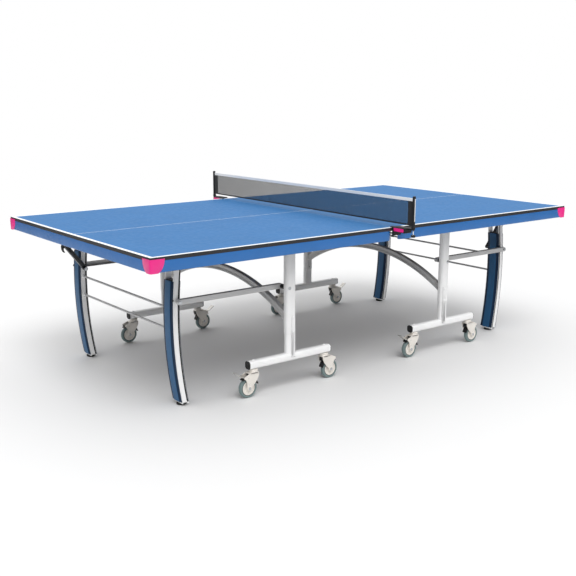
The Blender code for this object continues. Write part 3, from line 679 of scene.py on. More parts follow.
def wheel_hub(bm):
    """The moulded hub: rim, dished web with ribs, and the boss on the axle."""
    half = [(0.0046, 0.0150), (0.0100, 0.0150), (0.0108, 0.0142), (0.0112, 0.0108)]
    half += [(0.0130, 0.0088), (0.0285, 0.0088), (0.0298, 0.0112), (0.0322, 0.0118), (0.0340, 0.0106)]
    profile = half + [(r, -y) for r, y in reversed(half)]
    lathe(bm, profile, "Y", (0, 0), 0, 60, closed=True)
    ribs = 10
    for side in (-1, 1):
        for i in range(ribs):
            turn = Matrix.Rotation(math.tau * i / ribs, 3, "Y")
            rings = []
            for y in (0.0080, 0.0104):
                corners = ((0.0112, -0.0009), (0.0290, -0.0007), (0.0290, 0.0007), (0.0112, 0.0009))
                rings.append([turn @ Vector((x, side * y, z)) for x, z in corners])
            loft(bm, rings)


def pedal(bm):
    """The pressed brake lever about its own pin: ribbed tread, cranked arm, rolled hub."""
    wide = 0.0150
    plate = [(-0.0155, 0.0036), (0.0175, 0.0036), (0.0205, 0.0046), (0.0515, 0.0272)]
    plate += [(0.0500, 0.0300), (0.0190, 0.0078), (0.0170, 0.0068), (-0.0155, 0.0068)]
    prism(bm, plate, "Y", -wide, wide)
    ring(bm, (0, 0), (0.0036, 0.0064), (-wide, wide))
    way = Vector((0.031, 0.0222)).normalized()
    for i in range(4):
        start = Vector((0.0275, 0.0138)) + way * 0.0062 * i
        up = Vector((-way.y, way.x)) * 0.0008
        foot = up * -1.5
        low = [start + foot, start + way * 0.003 + foot]
        high = [start + way * 0.0026 + up, start + way * 0.0004 + up]
        prism(bm, low + high, "Y", -wide + 0.002, wide - 0.002)


# ---- legs ----------------------------------------------------------------------------------


def leg_x(z):
    """The middle of the curved leg at height z."""
    return LEG_APEX[0] + LEG_RADIUS - math.sqrt(LEG_RADIUS**2 - (z - LEG_APEX[1]) ** 2)


def leg_sweep(bm, section, bottom, top, steps=30):
    """A section of (x, y) points about the leg's middle, carried up the leg's curve."""
    rings = []
    for i in range(steps + 1):
        z = bottom + (top - bottom) * i / steps
        rings.append([(leg_x(z) + x, y, z) for x, y in section])
    return loft(bm, rings)


def rail_section(face, back):
    """A rail seen from above, with a deep channel along the net side of the face that shows."""
    out = 1 if face > back else -1
    soft = 0.0022
    near, far = face - out * soft, LEG_HALF_X - soft
    floor = face - out * RAIL_CHANNEL[2]
    start, end = RAIL_CHANNEL[0], RAIL_CHANNEL[1]
    points = [(far, face), (end, face), (end, floor), (start, floor), (start, face)]
    points += [(-far, face), (-LEG_HALF_X, near), (-LEG_HALF_X, back + out * soft)]
    points += [(-far, back), (far, back), (LEG_HALF_X, back + out * soft), (LEG_HALF_X, near)]
    return points


def leg_rails(bm):
    """Four curved rails with rounded heads, and the plate under each leg."""
    top = LEG_PIVOT[1]
    edge, inside = LEG_HALF_Y, LEG_HALF_Y - LEG_RAIL
    for side in (-1, 1):
        middle = side * LEG_Y
        for out in (side, -side):
            face, back = middle + out * edge, middle + out * inside
            section = rail_section(face, back)
            faces = leg_sweep(bm, section, LEG_BOTTOM, top)
            # The channel's walls and floor take the second finish, black: painted shade in the channel.
            for index, strip in enumerate(faces[:-2]):
                if index % len(section) in (1, 2, 3):
                    strip.material_index = 1
            head = arc((leg_x(top), top - 0.0005), LEG_HALF_X, 0, 180, 18)
            prism(bm, head, "Y", *sorted((face, back)))
        outline = rounded((leg_x(LEG_BOTTOM), middle), (2 * LEG_HALF_X, 2 * edge), 0.003, 4)
        prism(bm, outline, "Z", LEG_BOTTOM, LEG_BOTTOM + 0.006)


def leg_rods(bm):
    """The two rods between the legs, with a collar where each meets a rail."""
    reach = LEG_Y - LEG_HALF_Y
    for z in ROD_Z:
        centre = (leg_x(z), z)
        rod(bm, "Y", centre, ROD_RADIUS, -reach, reach, 28)
        for side in (-1, 1):
            seat, lip = side * reach, side * (reach - 0.008)
            collar = [(ROD_RADIUS - 0.0005, seat), (0.0090, seat), (0.0090, seat - side * 0.006)]
            collar += [(0.0078, lip), (ROD_RADIUS - 0.0005, lip)]
            lathe(bm, collar, "Y", centre, 1, 28, closed=True)


def leg_bolts(bm):
    """The hinge pins of the legs, the pins of the struts and the stay, their heads, and a rivet."""
    edge = LEG_HALF_Y
    for side in (-1, 1):
        middle = side * LEG_Y
        rod(bm, "Y", LEG_PIVOT, 0.0078, middle - 0.033, middle + 0.033)
        for out in (-1, 1):
            dome_head(bm, "Y", LEG_PIVOT, middle + out * (edge - 0.0004), out, 0.0100, 0.0012)
        outer = middle + side * edge
        rod(bm, "Y", STRUT_END, 0.0049, *sorted((outer - side * 0.002, side * (STRUT_Y[1] + 0.001))))
        hex_head(bm, "Y", STRUT_END, side * (STRUT_Y[1] + 0.0002), side, 0.0160, 0.0045)
        rivet = (STRUT_END[0] - 0.021, STRUT_END[1] + 0.006)
        dome_head(bm, "Y", rivet, outer, side, 0.0045, 0.0020, 1)
    inner = STAY_Y[0] - 0.001
    rod(bm, "Y", STRUT_END, 0.0049, inner, LEG_Y - LEG_HALF_Y + 0.002)
    hex_head(bm, "Y", STRUT_END, inner + 0.0006, -1, 0.0160, 0.0040)


def leg_core(bm):
    """The moulded core: on each side a floor over the rails, painted dark blue as painted shade in the
    recess, and a raised blue face.
    """
    bottom = LEG_BOTTOM + 0.007
    seat = LEG_HALF_X + 0.0003
    web, edge, raised = LEG_HALF_Y - LEG_RAIL - 0.0003, LEG_HALF_Y, CORE_RAISED
    floor, face = seat + CORE_FLOOR, seat + CORE_FACE
    quarter = [(seat, web), (seat, edge), (floor - 0.0004, edge), (floor, edge - 0.0006)]
    quarter += [(floor, raised + 0.0025), (floor + 0.0006, raised + 0.0014)]
    quarter += [(face - 0.0012, raised + 0.0004), (face - 0.0004, raised - 0.0004)]
    # The strips before this point, the recess floor and its edges, take the second finish: dark blue,
    # painted shade.
    dark = len(quarter) - 1
    quarter += [(face - 0.0001, raised - 0.0014), (face, raised * 0.5), (face, 0)]
    side = quarter + [(x, -y) for x, y in reversed(quarter[:-1])]
    section = side + [(-x, -y) for x, y in side]
    count = len(side)
    faces = leg_sweep(bm, [(x, y - LEG_Y) for x, y in section], bottom, CORE_TOP)
    for index, strip in enumerate(faces[:-2]):
        place = index % len(section) % count
        strip.material_index = 0 if dark <= place < count - 1 - dark else 1
    # The top end takes the dark blue too: painted shade under the apron.
    faces[-1].material_index = 1


def core_cap(bm):
    """The dark inset in the top end of the core."""
    x = leg_x(CORE_TOP)
    size = (2 * LEG_HALF_X - 0.004, 2 * (LEG_HALF_Y - LEG_RAIL) - 0.006)
    prism(bm, rounded((x, -LEG_Y), size, 0.004, 5), "Z", CORE_TOP - 0.002, CORE_TOP + 0.0025)


def foot(bm):
    """The levelling foot about its stem: ribbed rubber pad, plate and threaded stem."""
    rim = ((0.002, 0), (0, 0.002), (0, 0.0040), (0.0008, 0.0048))
    rim += ((0, 0.0056), (0.0005, 0.0085), (0.004, 0.0118))
    pad = [(0, 0), *((FOOT_RADIUS - shrink, z) for shrink, z in rim), (0, 0.0118)]
    lathe(bm, pad, "Z", (0, 0), 0, 56)
    stem = [(0, 0.011)]
    pitch = 0.0015
    for i in range(24):
        low = 0.0125 + i * pitch
        stem += [(0.0048, low), (0.0042, low + pitch / 2)]
    stem.append((0, 0.0122 + 24 * pitch))
    lathe(bm, stem, "Z", (0, 0), 1, 20)


def strut(bm):
    """The pressed channel from the upright to the leg, with a hub washer at each end."""
    radius = STRUT_HEIGHT / 2
    wall = 0.0024
    outer, inner = -STRUT_Y[1], -STRUT_Y[0]
    outside = stadium(STRUT_END, STRUT_PIVOT, radius)
    inside = stadium(STRUT_END, STRUT_PIVOT, radius - wall)
    pan(bm, outside, inside, "Y", outer, inner, outer + wall)
    for centre in (STRUT_END, STRUT_PIVOT):
        ring(bm, centre, (0.0062, 0.0096), (outer + wall - 0.0004, inner - 0.0004))


def along_stay(distance, aside=0.0):
    """A point of the stay's plane, measured from its pivot along and across it."""
    angle = math.radians(STAY_ANGLE)
    way = Vector((-math.cos(angle), math.sin(angle)))
    return Vector(STRUT_END) + way * distance + Vector((-way.y, way.x)) * aside


def stay(bm):
    """The dark channel on a leg's inner side. It is drawn where it is, on the back leg."""
    radius, wall = STAY_HEIGHT / 2, 0.0024
    tip = along_stay(STAY_LENGTH)
    outside = stadium(tip, STRUT_END, radius)
    inside = stadium(tip, STRUT_END, radius - wall)
    pan(bm, outside, inside, "Y", STAY_Y[1], STAY_Y[0], STAY_Y[1] - wall)
    ring(bm, STRUT_END, (0.0056, 0.0088), (STAY_Y[1] - 0.002, STAY_Y[0] + 0.0006))


def stay_latch(bm):
    """The moulded catch on the stay: a sleeve in the channel and a hooked lever below it."""
    sleeve = stadium(along_stay(0.190), along_stay(0.135), STAY_HEIGHT / 2 - 0.0028)
    prism(bm, sleeve, "Y", STAY_Y[0] - 0.0002, STAY_Y[1] - 0.003)
    hook = [(0.184, 0.004), (0.188, 0.012), (0.182, 0.021), (0.170, 0.029), (0.155, 0.033), (0.147, 0.030)]
    hook += [(0.147, 0.026), (0.158, 0.025), (0.166, 0.020), (0.168, 0.012), (0.163, 0.004)]
    prism(bm, [tuple(along_stay(*point)) for point in hook], "Y", STAY_Y[0] + 0.002, STAY_Y[1] - 0.005)


# ---- the net -------------------------------------------------------------------------------


def net_mesh(bm):
    """Knotless netting: upright and level strands, each a thin closed thread."""
    wide, thick = NET_STRAND
    low, high = NET_LOW.z + 0.003, NET_HIGH.z - NET_TAPE + 0.002
    half = NET_HIGH.y - 0.012
    columns = int(2 * half / NET_PITCH)
    rows = int((high - low) / NET_PITCH)
    corners = [(u * thick / 2, v * wide / 2) for u, v in ((-1, -1), (1, -1), (1, 1), (-1, 1))]
    shake = random.Random(4)
    for i in range(columns + 1):
        y = -half + 2 * half * i / columns
        rings = []
        for z in (low, (low + high) / 2, high):
            lean = shake.uniform(-0.0003, 0.0003)
            rings.append([(u, y + v + lean, z) for u, v in corners])
        loft(bm, rings)
    for i in range(rows + 1):
        z = low + (high - low) * i / rows
        prism(bm, [(u, z + v) for u, v in corners], "Y", -half, half)


def net_tape(bm):
    """The white tape folded over the top cord, stitched along its lower edge."""
    half, top = NET_HIGH.y - 0.0005, NET_HIGH.z
    radius = 0.0012
    section = arc((0, top - radius), radius, 0, 180, 8)
    section = [(0.0009, top - NET_TAPE), *section, (-0.0009, top - NET_TAPE)]
    rings = []
    steps = 60
    for i in range(steps + 1):
        y = -half + 2 * half * i / steps
        rings.append([(x, y, z) for x, z in section])
    loft(bm, rings)


def tape_stitches(bm):
    """Two rows of thread through the tape."""
    half = NET_HIGH.y - 0.034
    pitch = 0.008
    count = int(2 * half / pitch)
    z = NET_HIGH.z - NET_TAPE + 0.0025
    for i in range(count):
        y = -half + i * pitch
        for side in (-1, 1):
            depth = sorted((side * 0.0007, side * 0.00115))
            box(bm, depth, (y, y + 0.0052), (z - 0.0003, z + 0.0003))


def net_hem(bm):
    """The dark hem round the bottom cord, and the sleeve at each end."""
    half = NET_HIGH.y - 0.003
    middle = NET_LOW.z + 0.0035
    hem = [(0.0011 * x, middle + 0.0034 * z) for x, z in circle((0, 0), 1, 16)]
    prism(bm, hem, "Y", -half, half)
    for side in (-1, 1):
        span = sorted((side * NET_HIGH.y, side * (NET_HIGH.y - NET_SLEEVE)))
        outline = rounded((0, sum(span) / 2), (0.0016, span[1] - span[0]), 0.0006, 4)
        prism(bm, outline, "Z", NET_LOW.z + 0.001, NET_HIGH.z - NET_TAPE + 0.002)


def clamp_body(bm):
    """The moulded clamp: jaws on the board, plate against its edge, and the housing outside."""
    inner, plate, housing = SIDE_Y + 0.0009, CLAMP_PLATE_Y, CLAMP_HOUSING_Y
    low, middle, lug, high = CLAMP_Z
    left, right = CLAMP_X
    centre, wide = (left + right) / 2, right - left
    outline = rounded((centre, (low + high) / 2), (wide, high - low), 0.004, 5)
    prism(bm, outline, "Y", -plate, -inner)
    layers = []
    for shrink, y in ((0, -plate + 0.001), (0, -housing + 0.003), (0.003, -housing)):
        size = (wide - shrink, high - middle - shrink)
        outline = rounded((centre, (middle + high) / 2), size, 0.0045 - shrink / 2, 6)
        layers.append((outline, y))
    stack(bm, "Y", layers)
    upper = (SURFACE_Z + 0.0004, high - 0.0005)
    box(bm, (left + 0.0006, -CLAMP_LUG), (-inner - 0.002, -UPPER_JAW_Y), upper)
    box(bm, (LOWER_JAW_X, NET_X), (-inner - 0.001, -LOWER_JAW_Y), LOWER_JAW_Z)
    arm = [(-0.0078, -housing + 0.002), (0.0078, -housing + 0.002)]
    arm += arc((0, -NET_POST_Y), 0.0079, 0, -180, 14)
    prism(bm, arm, "Z", lug + 0.0002, high - 0.0004)


def clamp_post(bm):
    """The post, with its rounded cap and the collar at its foot."""
    radius, foot_z, top = 0.0078, CLAMP_Z[2] + 0.001, CLAMP_TOP
    profile = [(0, foot_z), (radius, foot_z), (radius, top - 0.0035)]
    profile += [(radius - 0.0012, top - 0.0006), (0, top - 0.0003)]
    lathe(bm, profile, "Z", (0, -NET_POST_Y), 0, 32)
    collar = [(radius - 0.0005, 0.7640), (0.0094, 0.7650), (0.0094, 0.7735), (radius - 0.0005, 0.7750)]
    lathe(bm, collar, "Z", (0, -NET_POST_Y), 0, 32, closed=True)


def clamp_strip(bm):
    """A white strip along the outside of the post: a painted highlight."""
    outline = rounded((0, -NET_POST_Y - 0.0074), (0.0044, 0.0014), 0.0005, 3)
    prism(bm, outline, "Z", 0.800, CLAMP_TOP - 0.012)


def clamp_label(bm):
    """A plain pink plate let into each side of the housing."""
    middle = (CLAMP_Z[1] + CLAMP_Z[3]) / 2
    outline = rounded((-0.8085, middle), (0.067, 0.0165), 0.003, 5)
    for x, out in ((CLAMP_X[0], -1), (CLAMP_X[1], 1)):
        prism(bm, outline, "X", *sorted((x + out * 0.0004, x - out * 0.001)))


def height_screw(bm):
    """The bright threaded screw under the post."""
    profile = thread(HEIGHT_KNOB_Z[1] - 0.001, CLAMP_Z[2] + 0.001, 0.0015, 0.0030, 0.0025)
    lathe(bm, profile, "Z", (0, -NET_POST_Y), 0, 20)


def knob(bm, centre, radius, low, high, lobes):
    """A hand knob with lobes round its rim and softened faces."""
    layers = []
    for share, rise in KNOB_STEPS:
        outline = []
        for x, y in circle((0, 0), 1, 72):
            wave = math.cos(lobes * math.atan2(y, x))
            reach = radius * share * (1 - 0.10 * (0.5 - 0.5 * wave))
            outline.append((centre[0] + reach * x, centre[1] + reach * y))
        layers.append((outline, low + (high - low) * rise))
    stack(bm, "Z", layers)


def height_knob(bm):
    """The hand knob on the height screw."""
    knob(bm, (0, -NET_POST_Y), HEIGHT_KNOB, *HEIGHT_KNOB_Z, 8)


def knob_screw(bm):
    """The thumb screw under the board: threaded shank, lobed knob."""
    shank = thread(CLAMP_KNOB_Z[1] - 0.001, BOARD_Z - 0.0006, 0.0014, 0.0029, 0.0024)
    lathe(bm, shank, "Z", (0, 0), 1, 18)
    knob(bm, (0, 0), CLAMP_KNOB, *CLAMP_KNOB_Z, 6)


# ---- materials -----------------------------------------------------------------------------


def srgb(red, green, blue):
    """A colour given as it looks on a screen, from 0 to 1, as linear values."""
    return tuple(c / 12.92 if c <= 0.04045 else ((c + 0.055) / 1.055) ** 2.4 for c in (red, green, blue))


def add_node(tree, kind, values=(), **settings):
    """A new shader node, with its settings and the values of its inputs."""
    node = tree.nodes.new("ShaderNode" + kind)
    for key, value in settings.items():
        setattr(node, key, value)
    for key, value in dict(values).items():
        node.inputs[key].default_value = value
    return node


def finish(name, colour, roughness, metallic=0.0, grain=500.0, bump=0.00004, mottle=0.05,
           stretch=(1, 1, 1), coat=0.0, sheen=0.0, specular=0.5, weave=0.0):
    """Mottled colour, uneven gloss and a fine relief, all from noise in the piece's own space."""
    made = bpy.data.materials.new(name)
    made.use_nodes = True
    tree = made.node_tree
    link = tree.links.new
    shader = tree.nodes["Principled BSDF"]
    values = {"Metallic": metallic, "Coat Weight": coat, "Coat Roughness": 0.15,
              "Sheen Weight": sheen, "Specular IOR Level": specular}
    for key, value in values.items():
        shader.inputs[key].default_value = value
    place = add_node(tree, "TexCoord")
    mapping = add_node(tree, "Mapping", {"Scale": stretch})
    link(place.outputs["Object"], mapping.inputs["Vector"])

    def noise(scale, detail):
        node = add_node(tree, "TexNoise", {"Scale": scale, "Detail": detail})
        link(mapping.outputs["Vector"], node.inputs["Vector"])
        return node.outputs["Fac"]

    ramp = add_node(tree, "ValToRGB")
    steps = zip(ramp.color_ramp.elements, (1 - mottle, 1 + mottle), (0.36, 0.64))
    for element, share, position in steps:
        element.position = position
        element.color = (*[min(1.0, c * share) for c in colour], 1)
    link(noise(7.0, 4.0), ramp.inputs["Fac"])
    link(ramp.outputs["Color"], shader.inputs["Base Color"])
    ends = {"To Min": max(0.02, roughness - GLOSS_SPREAD), "To Max": min(1.0, roughness + GLOSS_SPREAD)}
    gloss = add_node(tree, "MapRange", {"From Min": 0.3, "From Max": 0.7, **ends})
    link(noise(45.0, 3.0), gloss.inputs["Value"])
    link(gloss.outputs["Result"], shader.inputs["Roughness"])
    relief = add_node(tree, "Bump", {"Strength": 1.0, "Distance": bump})
    height = noise(grain, 2.0)
    if weave:
        cross = add_node(tree, "Math", operation="MAXIMUM")
        for index, direction in enumerate(("Y", "Z")):
            wave = add_node(tree, "TexWave", {"Scale": weave}, bands_direction=direction)
            link(mapping.outputs["Vector"], wave.inputs["Vector"])
            link(wave.outputs["Fac"], cross.inputs[index])
        height = cross.outputs["Value"]
    link(height, relief.inputs["Height"])
    link(relief.outputs["Normal"], shader.inputs["Normal"])
    return made


GLOSS_SPREAD = 0.06
# Each finish: material name, the record's slot, colour on screen, roughness, and other settings.
FINISH_TABLE = {
    "surface": ("playing_surface_paint", "playing_surface", (0.21, 0.45, 0.675), 0.58,
                dict(grain=900, bump=0.00006, mottle=0.025, specular=0.35)),
    "line": ("line_paint", "white_line", (0.97, 0.98, 0.99), 0.50,
             dict(grain=900, bump=0.00005, mottle=0.02)),
    "under": ("board_core", "playing_surface", (0.30, 0.26, 0.22), 0.80,
              dict(grain=300, bump=0.0002, mottle=0.15)),
    "band": ("edge_band_plastic", "edge_band", (0.17, 0.17, 0.18), 0.38,
             dict(bump=0.00003, mottle=0.06)),
    "apron": ("apron_powder_coat", "blue_apron", (0.15, 0.43, 0.71), 0.36,
              dict(grain=650, bump=0.00005, mottle=0.035, coat=0.15)),
    "pink": ("protector_plastic", "pink_protector", (0.97, 0.16, 0.56), 0.36,
             dict(grain=700, mottle=0.03, coat=0.15)),
    "white": ("white_powder_coat", "white_paint", (0.97, 0.97, 0.97), 0.34,
              dict(grain=650, mottle=0.015, coat=0.2)),
    "silver": ("silver_powder_coat", "silver_paint", (0.78, 0.78, 0.78), 0.36,
               dict(metallic=0.1, grain=800, mottle=0.03)),
    "blue": ("leg_core_blue", "blue_leg_cover", (0.15, 0.36, 0.53), 0.42,
             dict(bump=0.00003, specular=0.35)),
    # The dark blue of the leg core's recess floors and top end is painted shade.
    "navy": ("leg_core_navy_painted_shade", "blue_leg_cover", (0.06, 0.17, 0.28), 0.45,
             dict(bump=0.00003, specular=0.25)),
    "stay": ("stay_paint", "grey_stay", (0.34, 0.35, 0.36), 0.42,
             dict(metallic=0.3, grain=600, bump=0.00005)),
    "rubber": ("foot_rubber", "black_rubber", (0.09, 0.09, 0.09), 0.72,
               dict(grain=260, bump=0.00012, mottle=0.12)),
    "cream": ("fork_enamel", "cream_fork", (0.92, 0.90, 0.87), 0.32,
              dict(metallic=0.1, grain=700, bump=0.00003, mottle=0.03, coat=0.3)),
    "tyre": ("tyre_rubber", "grey_tyre", (0.46, 0.53, 0.53), 0.62,
             dict(grain=300, bump=0.00010, mottle=0.08)),
    "hub": ("hub_plastic", "white_hub", (0.93, 0.91, 0.88), 0.36, dict(bump=0.00003, mottle=0.03)),
    "steel": ("pedal_steel_plate", "pedal_steel", (0.82, 0.81, 0.79), 0.26,
              dict(metallic=0.9, grain=300, bump=0.00003, mottle=0.06, stretch=(1, 8, 1))),
    "zinc": ("zinc_plate", "zinc_bolt", (0.80, 0.81, 0.82), 0.28,
             dict(metallic=0.85, bump=0.00003, mottle=0.08)),
    "black": ("moulded_black", "black_plastic", (0.085, 0.085, 0.09), 0.42,
              dict(grain=420, bump=0.00007, mottle=0.10)),
    "thread": ("net_thread", "net_cloth", (0.10, 0.11, 0.12), 0.85,
               dict(grain=900, bump=0.00008, mottle=0.12, specular=0.3)),
    "hem": ("net_hem_cloth", "net_cloth", (0.07, 0.07, 0.08), 0.85,
            dict(mottle=0.12, bump=0.00012, weave=260, sheen=0.2)),
    "tape": ("tape_cloth", "white_line", (0.96, 0.96, 0.96), 0.80,
             dict(mottle=0.03, bump=0.00010, weave=260, sheen=0.2)),
}


# ---- putting the pieces in place -----------------------------------------------------------

FINISHES = {}
for finish_key, (material_name, slot_name, screen, rough, settings) in FINISH_TABLE.items():
    FINISHES[finish_key] = (finish(material_name, srgb(*screen), rough, **settings), slot_name)
HALVES = (("left", 0.0, ("front", "back")), ("right", math.pi, ("back", "front")))
SHAPES = {}


def shape(draw, side, bevel):
    """The mesh that a drawing function makes, or its mirror image for the other side."""
    key = (draw.__name__, side)
    if key not in SHAPES:
        bm = bmesh.new()
        draw(bm)
        if side > 0:
            bmesh.ops.scale(bm, vec=(1, -1, 1), verts=bm.verts)
        bmesh.ops.remove_doubles(bm, verts=bm.verts, dist=0.000002)
        bmesh.ops.recalc_face_normals(bm, faces=bm.faces)
        mesh = bpy.data.meshes.new(draw.__name__)
        bm.to_mesh(mesh)
        bm.free()
        mesh.shade_smooth()
        if not bevel:
            mesh.set_sharp_from_angle(angle=SHARP)
        SHAPES[key] = mesh
    return SHAPES[key]


def put(name, draw, finishes, body, turn=0.0, side=-1, place=(0, 0, 0), spin=0.0, stands_for=(), bevel=0.0):
    """One piece on its body. place and spin set a piece that is drawn about its own axis."""
    mesh = shape(draw, side, bevel)
    keys = finishes.split()
    if not mesh.materials:
        for key in keys:
            mesh.materials.append(FINISHES[key][0])
    piece = bpy.data.objects.new(name, mesh)
    bpy.context.scene.collection.objects.link(piece)
    half = Matrix.Rotation(turn, 4, "Z")
    piece.matrix_world = half @ Matrix.Translation(place) @ Matrix.Rotation(spin, 4, "Z")
    if bevel:
        edge = piece.modifiers.new("soft_edges", "BEVEL")
        edge.width = bevel
        edge.segments = 2
        edge.limit_method = "ANGLE"
        edge.angle_limit = SHARP
        edge.harden_normals = True
    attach(piece, body)
    if stands_for:
        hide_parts(*stands_for)
    return piece


def put_all(start, body, turn, side, rows):
    """Pieces of one body: name, drawing, finishes, bevel, and the CAD node each stands for, if any."""
    for name, draw, finishes, bevel, *nodes in rows:
        stands_for = [start + node for node in nodes]
        put(start + name, draw, finishes, body, turn, side, stands_for=stands_for, bevel=bevel)


def add_top(half, turn, names):
    body = half + "_top"
    put_all(half + "_", body, turn, -1, (
        ("board", board, "surface line under", 0, "top_panel"),
        ("edge_band", edge_band, "band", 0),
        ("apron", apron, "apron", 0, "apron_frame"),
        ("cross_rails", cross_rails, "apron", 0.0003),
    ))
    for side, name in zip((-1, 1), names):
        row = ("corner_cap", protector, "pink", 0.0008, "corner_protector")
        put_all(f"{half}_{name}_", body, turn, side, [row])


def add_carriage(half, turn, names):
    body = half + "_carriage"
    put_all(half + "_", body, turn, -1, (
        ("arch", arch, "silver", 0.0004, "arch_brace"),
        ("arch_bolts", arch_bolts, "zinc", 0.0003),
    ))
    for side, name in zip((-1, 1), names):
        put_all(f"{half}_{name}_", body, turn, side, (
            ("post_tube", post, "white", 0.0004, "upright"),
            ("post_plug", post_plug, "black", 0.0005),
            ("post_hinges", post_hinges, "zinc", 0.0003),
            ("strut_bush", strut_bush, "black", 0),
            ("base_bar", base_bar, "white", 0.0004, "base"),
            ("height_strap", strap, "white", 0.0009),
            ("base_bolts", base_bolts, "white", 0),
            ("stem_nuts", stem_nuts, "white", 0),
            ("bar_plugs", bar_plugs, "black", 0),
        ))


def add_castors(half, turn, names):
    for side, name in zip((-1, 1), names):
        for position, way in (("outer", -1), ("inner", 1)):
            start = f"{half}_{name}_{position}_"
            x, y = CASTOR_X[position], side * POST_Y
            spin = 0.0 if way > 0 else math.pi
            axle = dict(turn=turn, place=(x + way * TRAIL, y, WHEEL_RADIUS), spin=spin)
            stem = dict(turn=turn, place=(x, y, 0), spin=spin)
            swivel, wheel = start + "swivel", start + "wheel"
            node = [start + "fork"]
            put(start + "pressed_fork", fork, "cream", swivel, stands_for=node, bevel=0.0006, **stem)
            put(start + "axle_nuts", fork_bolts, "zinc", swivel, bevel=0.0003, **stem)
            put(start + "wheel_guard", wheel_guard, "black", swivel, bevel=0.0006, **stem)
            put(start + "tyre", tyre, "tyre black", wheel, stands_for=[wheel], **axle)
            put(start + "hub", wheel_hub, "hub", wheel, bevel=0.0004, **axle)
            if way == side:
                pin = dict(turn=turn, place=(x + way * PEDAL_PIVOT[0], y, PEDAL_PIVOT[1]), spin=spin)
                node, body = [start + "brake_pedal"], start + "pedal"
                put(start + "brake_lever", pedal, "steel", body, stands_for=node, bevel=0.0003, **pin)


def add_legs(half, turn, names):
    body = half + "_legs"
    put_all(half + "_", body, turn, -1, (
        # The black on the rails is painted shade in their channels.
        ("leg_rails", leg_rails, "white black", 0.0004, "leg_frame"),
        ("leg_rods", leg_rods, "silver white", 0),
        ("leg_pins", leg_bolts, "zinc black", 0.0003),
    ))
    put_all(half + "_", half + "_stay", turn, -1, (
        ("stay_channel", stay, "stay", 0.0003, "leg_stay"),
        ("stay_latch", stay_latch, "black", 0.0008),
    ))
    for side, name in zip((-1, 1), names):
        start = f"{half}_{name}_"
        put_all(start, body, turn, side, (
            # The core's second finish, the dark blue, is painted shade in its recesses.
            ("leg_core", leg_core, "blue navy", 0, "leg_cover"),
            ("leg_core_cap", core_cap, "black", 0.0005),
        ))
        stem = (leg_x(LEG_BOTTOM), side * LEG_Y, 0)
        node = start + "foot"
        put(start + "levelling_foot", foot, "rubber zinc", node, turn, place=stem, stands_for=[node])
        row = ("strut_channel", strut, "silver", 0.0004, "strut")
        put_all(start, half + "_struts", turn, side, [row])


def add_net():
    body = "left_top"
    mesh = put("net_mesh", net_mesh, "thread", body, stands_for=["net"])
    tape = put("net_tape", net_tape, "tape", body)
    stitches = put("tape_stitches", tape_stitches, "tape", body)
    hem = put("net_hem", net_hem, "hem", body)
    for side, name in ((-1, "front"), (1, "back")):
        start, node = name + "_clamp_", name + "_net_clamp"
        put(start + "body", clamp_body, "black", body, side=side, stands_for=[node], bevel=0.0008)
        put_all(start, body, 0.0, side, (
            ("net_post", clamp_post, "black", 0.0003),
            # The white strip on the post is a painted highlight.
            ("post_strip", clamp_strip, "tape", 0),
            ("label", clamp_label, "pink", 0.0003),
            ("height_screw", height_screw, "zinc", 0),
            ("height_knob", height_knob, "black", 0),
        ))
        place, node = (CLAMP_SCREW[0], side * CLAMP_SCREW[1], 0), name + "_clamp_screw"
        put(start + "thumb_screw", knob_screw, "black zinc", node, place=place, stands_for=[node])


# ---- the stage -----------------------------------------------------------------------------


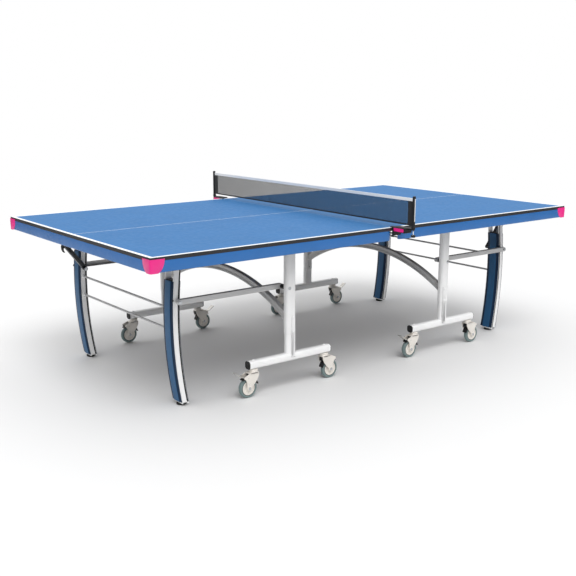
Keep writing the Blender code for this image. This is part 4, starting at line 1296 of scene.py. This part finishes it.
def make_floor():
    """A round pale floor that fades out into the background."""
    bm = bmesh.new()
    bmesh.ops.create_circle(bm, cap_ends=True, radius=FLOOR_RADIUS, segments=96)
    mesh = bpy.data.meshes.new("floor")
    bm.to_mesh(mesh)
    bm.free()
    floor = bpy.data.objects.new("floor", mesh)
    bpy.context.scene.collection.objects.link(floor)
    made = bpy.data.materials.new("floor_paint")
    made.use_nodes = True
    tree = made.node_tree
    link = tree.links.new
    shader = tree.nodes["Principled BSDF"]
    shader.inputs["Base Color"].default_value = (*srgb(0.90, 0.90, 0.90), 1)
    shader.inputs["Roughness"].default_value = 0.55
    shader.inputs["Specular IOR Level"].default_value = 0.2
    place = add_node(tree, "TexCoord")
    distance = add_node(tree, "VectorMath", operation="LENGTH")
    link(place.outputs["Object"], distance.inputs[0])
    reach = {"From Min": FLOOR_FADE[0], "From Max": FLOOR_FADE[1]}
    fade = add_node(tree, "MapRange", reach, interpolation_type="SMOOTHSTEP")
    link(distance.outputs["Value"], fade.inputs["Value"])
    clear = add_node(tree, "BsdfTransparent")
    mix = add_node(tree, "MixShader")
    link(fade.outputs["Result"], mix.inputs["Fac"])
    link(shader.outputs["BSDF"], mix.inputs[1])
    link(clear.outputs["BSDF"], mix.inputs[2])
    link(mix.outputs["Shader"], tree.nodes["Material Output"].inputs["Surface"])
    mesh.materials.append(made)


def make_sky():
    """A white surround that lights like a studio: bright overhead, dim along the horizon."""
    world = bpy.data.worlds.new("studio")
    world.use_nodes = True
    tree = world.node_tree
    link = tree.links.new
    place = add_node(tree, "TexCoord")
    height = add_node(tree, "SeparateXYZ")
    link(place.outputs["Generated"], height.inputs["Vector"])
    rise = {"From Min": SKY_RISE[0], "From Max": SKY_RISE[1], "To Min": SKY[0], "To Max": SKY[1]}
    sky = add_node(tree, "MapRange", rise, interpolation_type="SMOOTHSTEP")
    link(height.outputs["Z"], sky.inputs["Value"])
    path = add_node(tree, "LightPath")
    seen = add_node(tree, "Mix", {"B": 1.0})
    link(path.outputs["Is Camera Ray"], seen.inputs["Factor"])
    link(sky.outputs["Result"], seen.inputs["A"])
    background = tree.nodes["Background"]
    background.inputs["Color"].default_value = (1, 1, 1, 1)
    link(seen.outputs["Result"], background.inputs["Strength"])
    bpy.context.scene.world = world


def add_sun():
    """The one lamp: a very wide sun that stands for a softbox over the front of the table."""
    data = bpy.data.lights.new("overhead_softbox", "SUN")
    data.angle = SUN_ANGLE
    data.energy = SUN_STRENGTH
    light = bpy.data.objects.new("overhead_softbox", data)
    light.rotation_euler = Vector(SUN_WAY).to_track_quat("Z", "Y").to_euler()
    bpy.context.scene.collection.objects.link(light)


def make_stage():
    make_floor()
    make_sky()
    add_sun()
    scene = bpy.context.scene
    scene.view_settings.view_transform = "Standard"
    data = bpy.data.cameras.new("camera")
    data.lens = CAMERA_LENS
    data.sensor_width = 36.0
    camera = bpy.data.objects.new("camera", data)
    camera.location = CAMERA_PLACE
    camera.rotation_euler = Euler([math.radians(angle) for angle in CAMERA_TURN])
    scene.collection.objects.link(camera)
    scene.camera = camera


make_stage()
for half_name, half_turn, side_names in HALVES:
    add_top(half_name, half_turn, side_names)
    add_carriage(half_name, half_turn, side_names)
    add_castors(half_name, half_turn, side_names)
    add_legs(half_name, half_turn, side_names)
add_net()
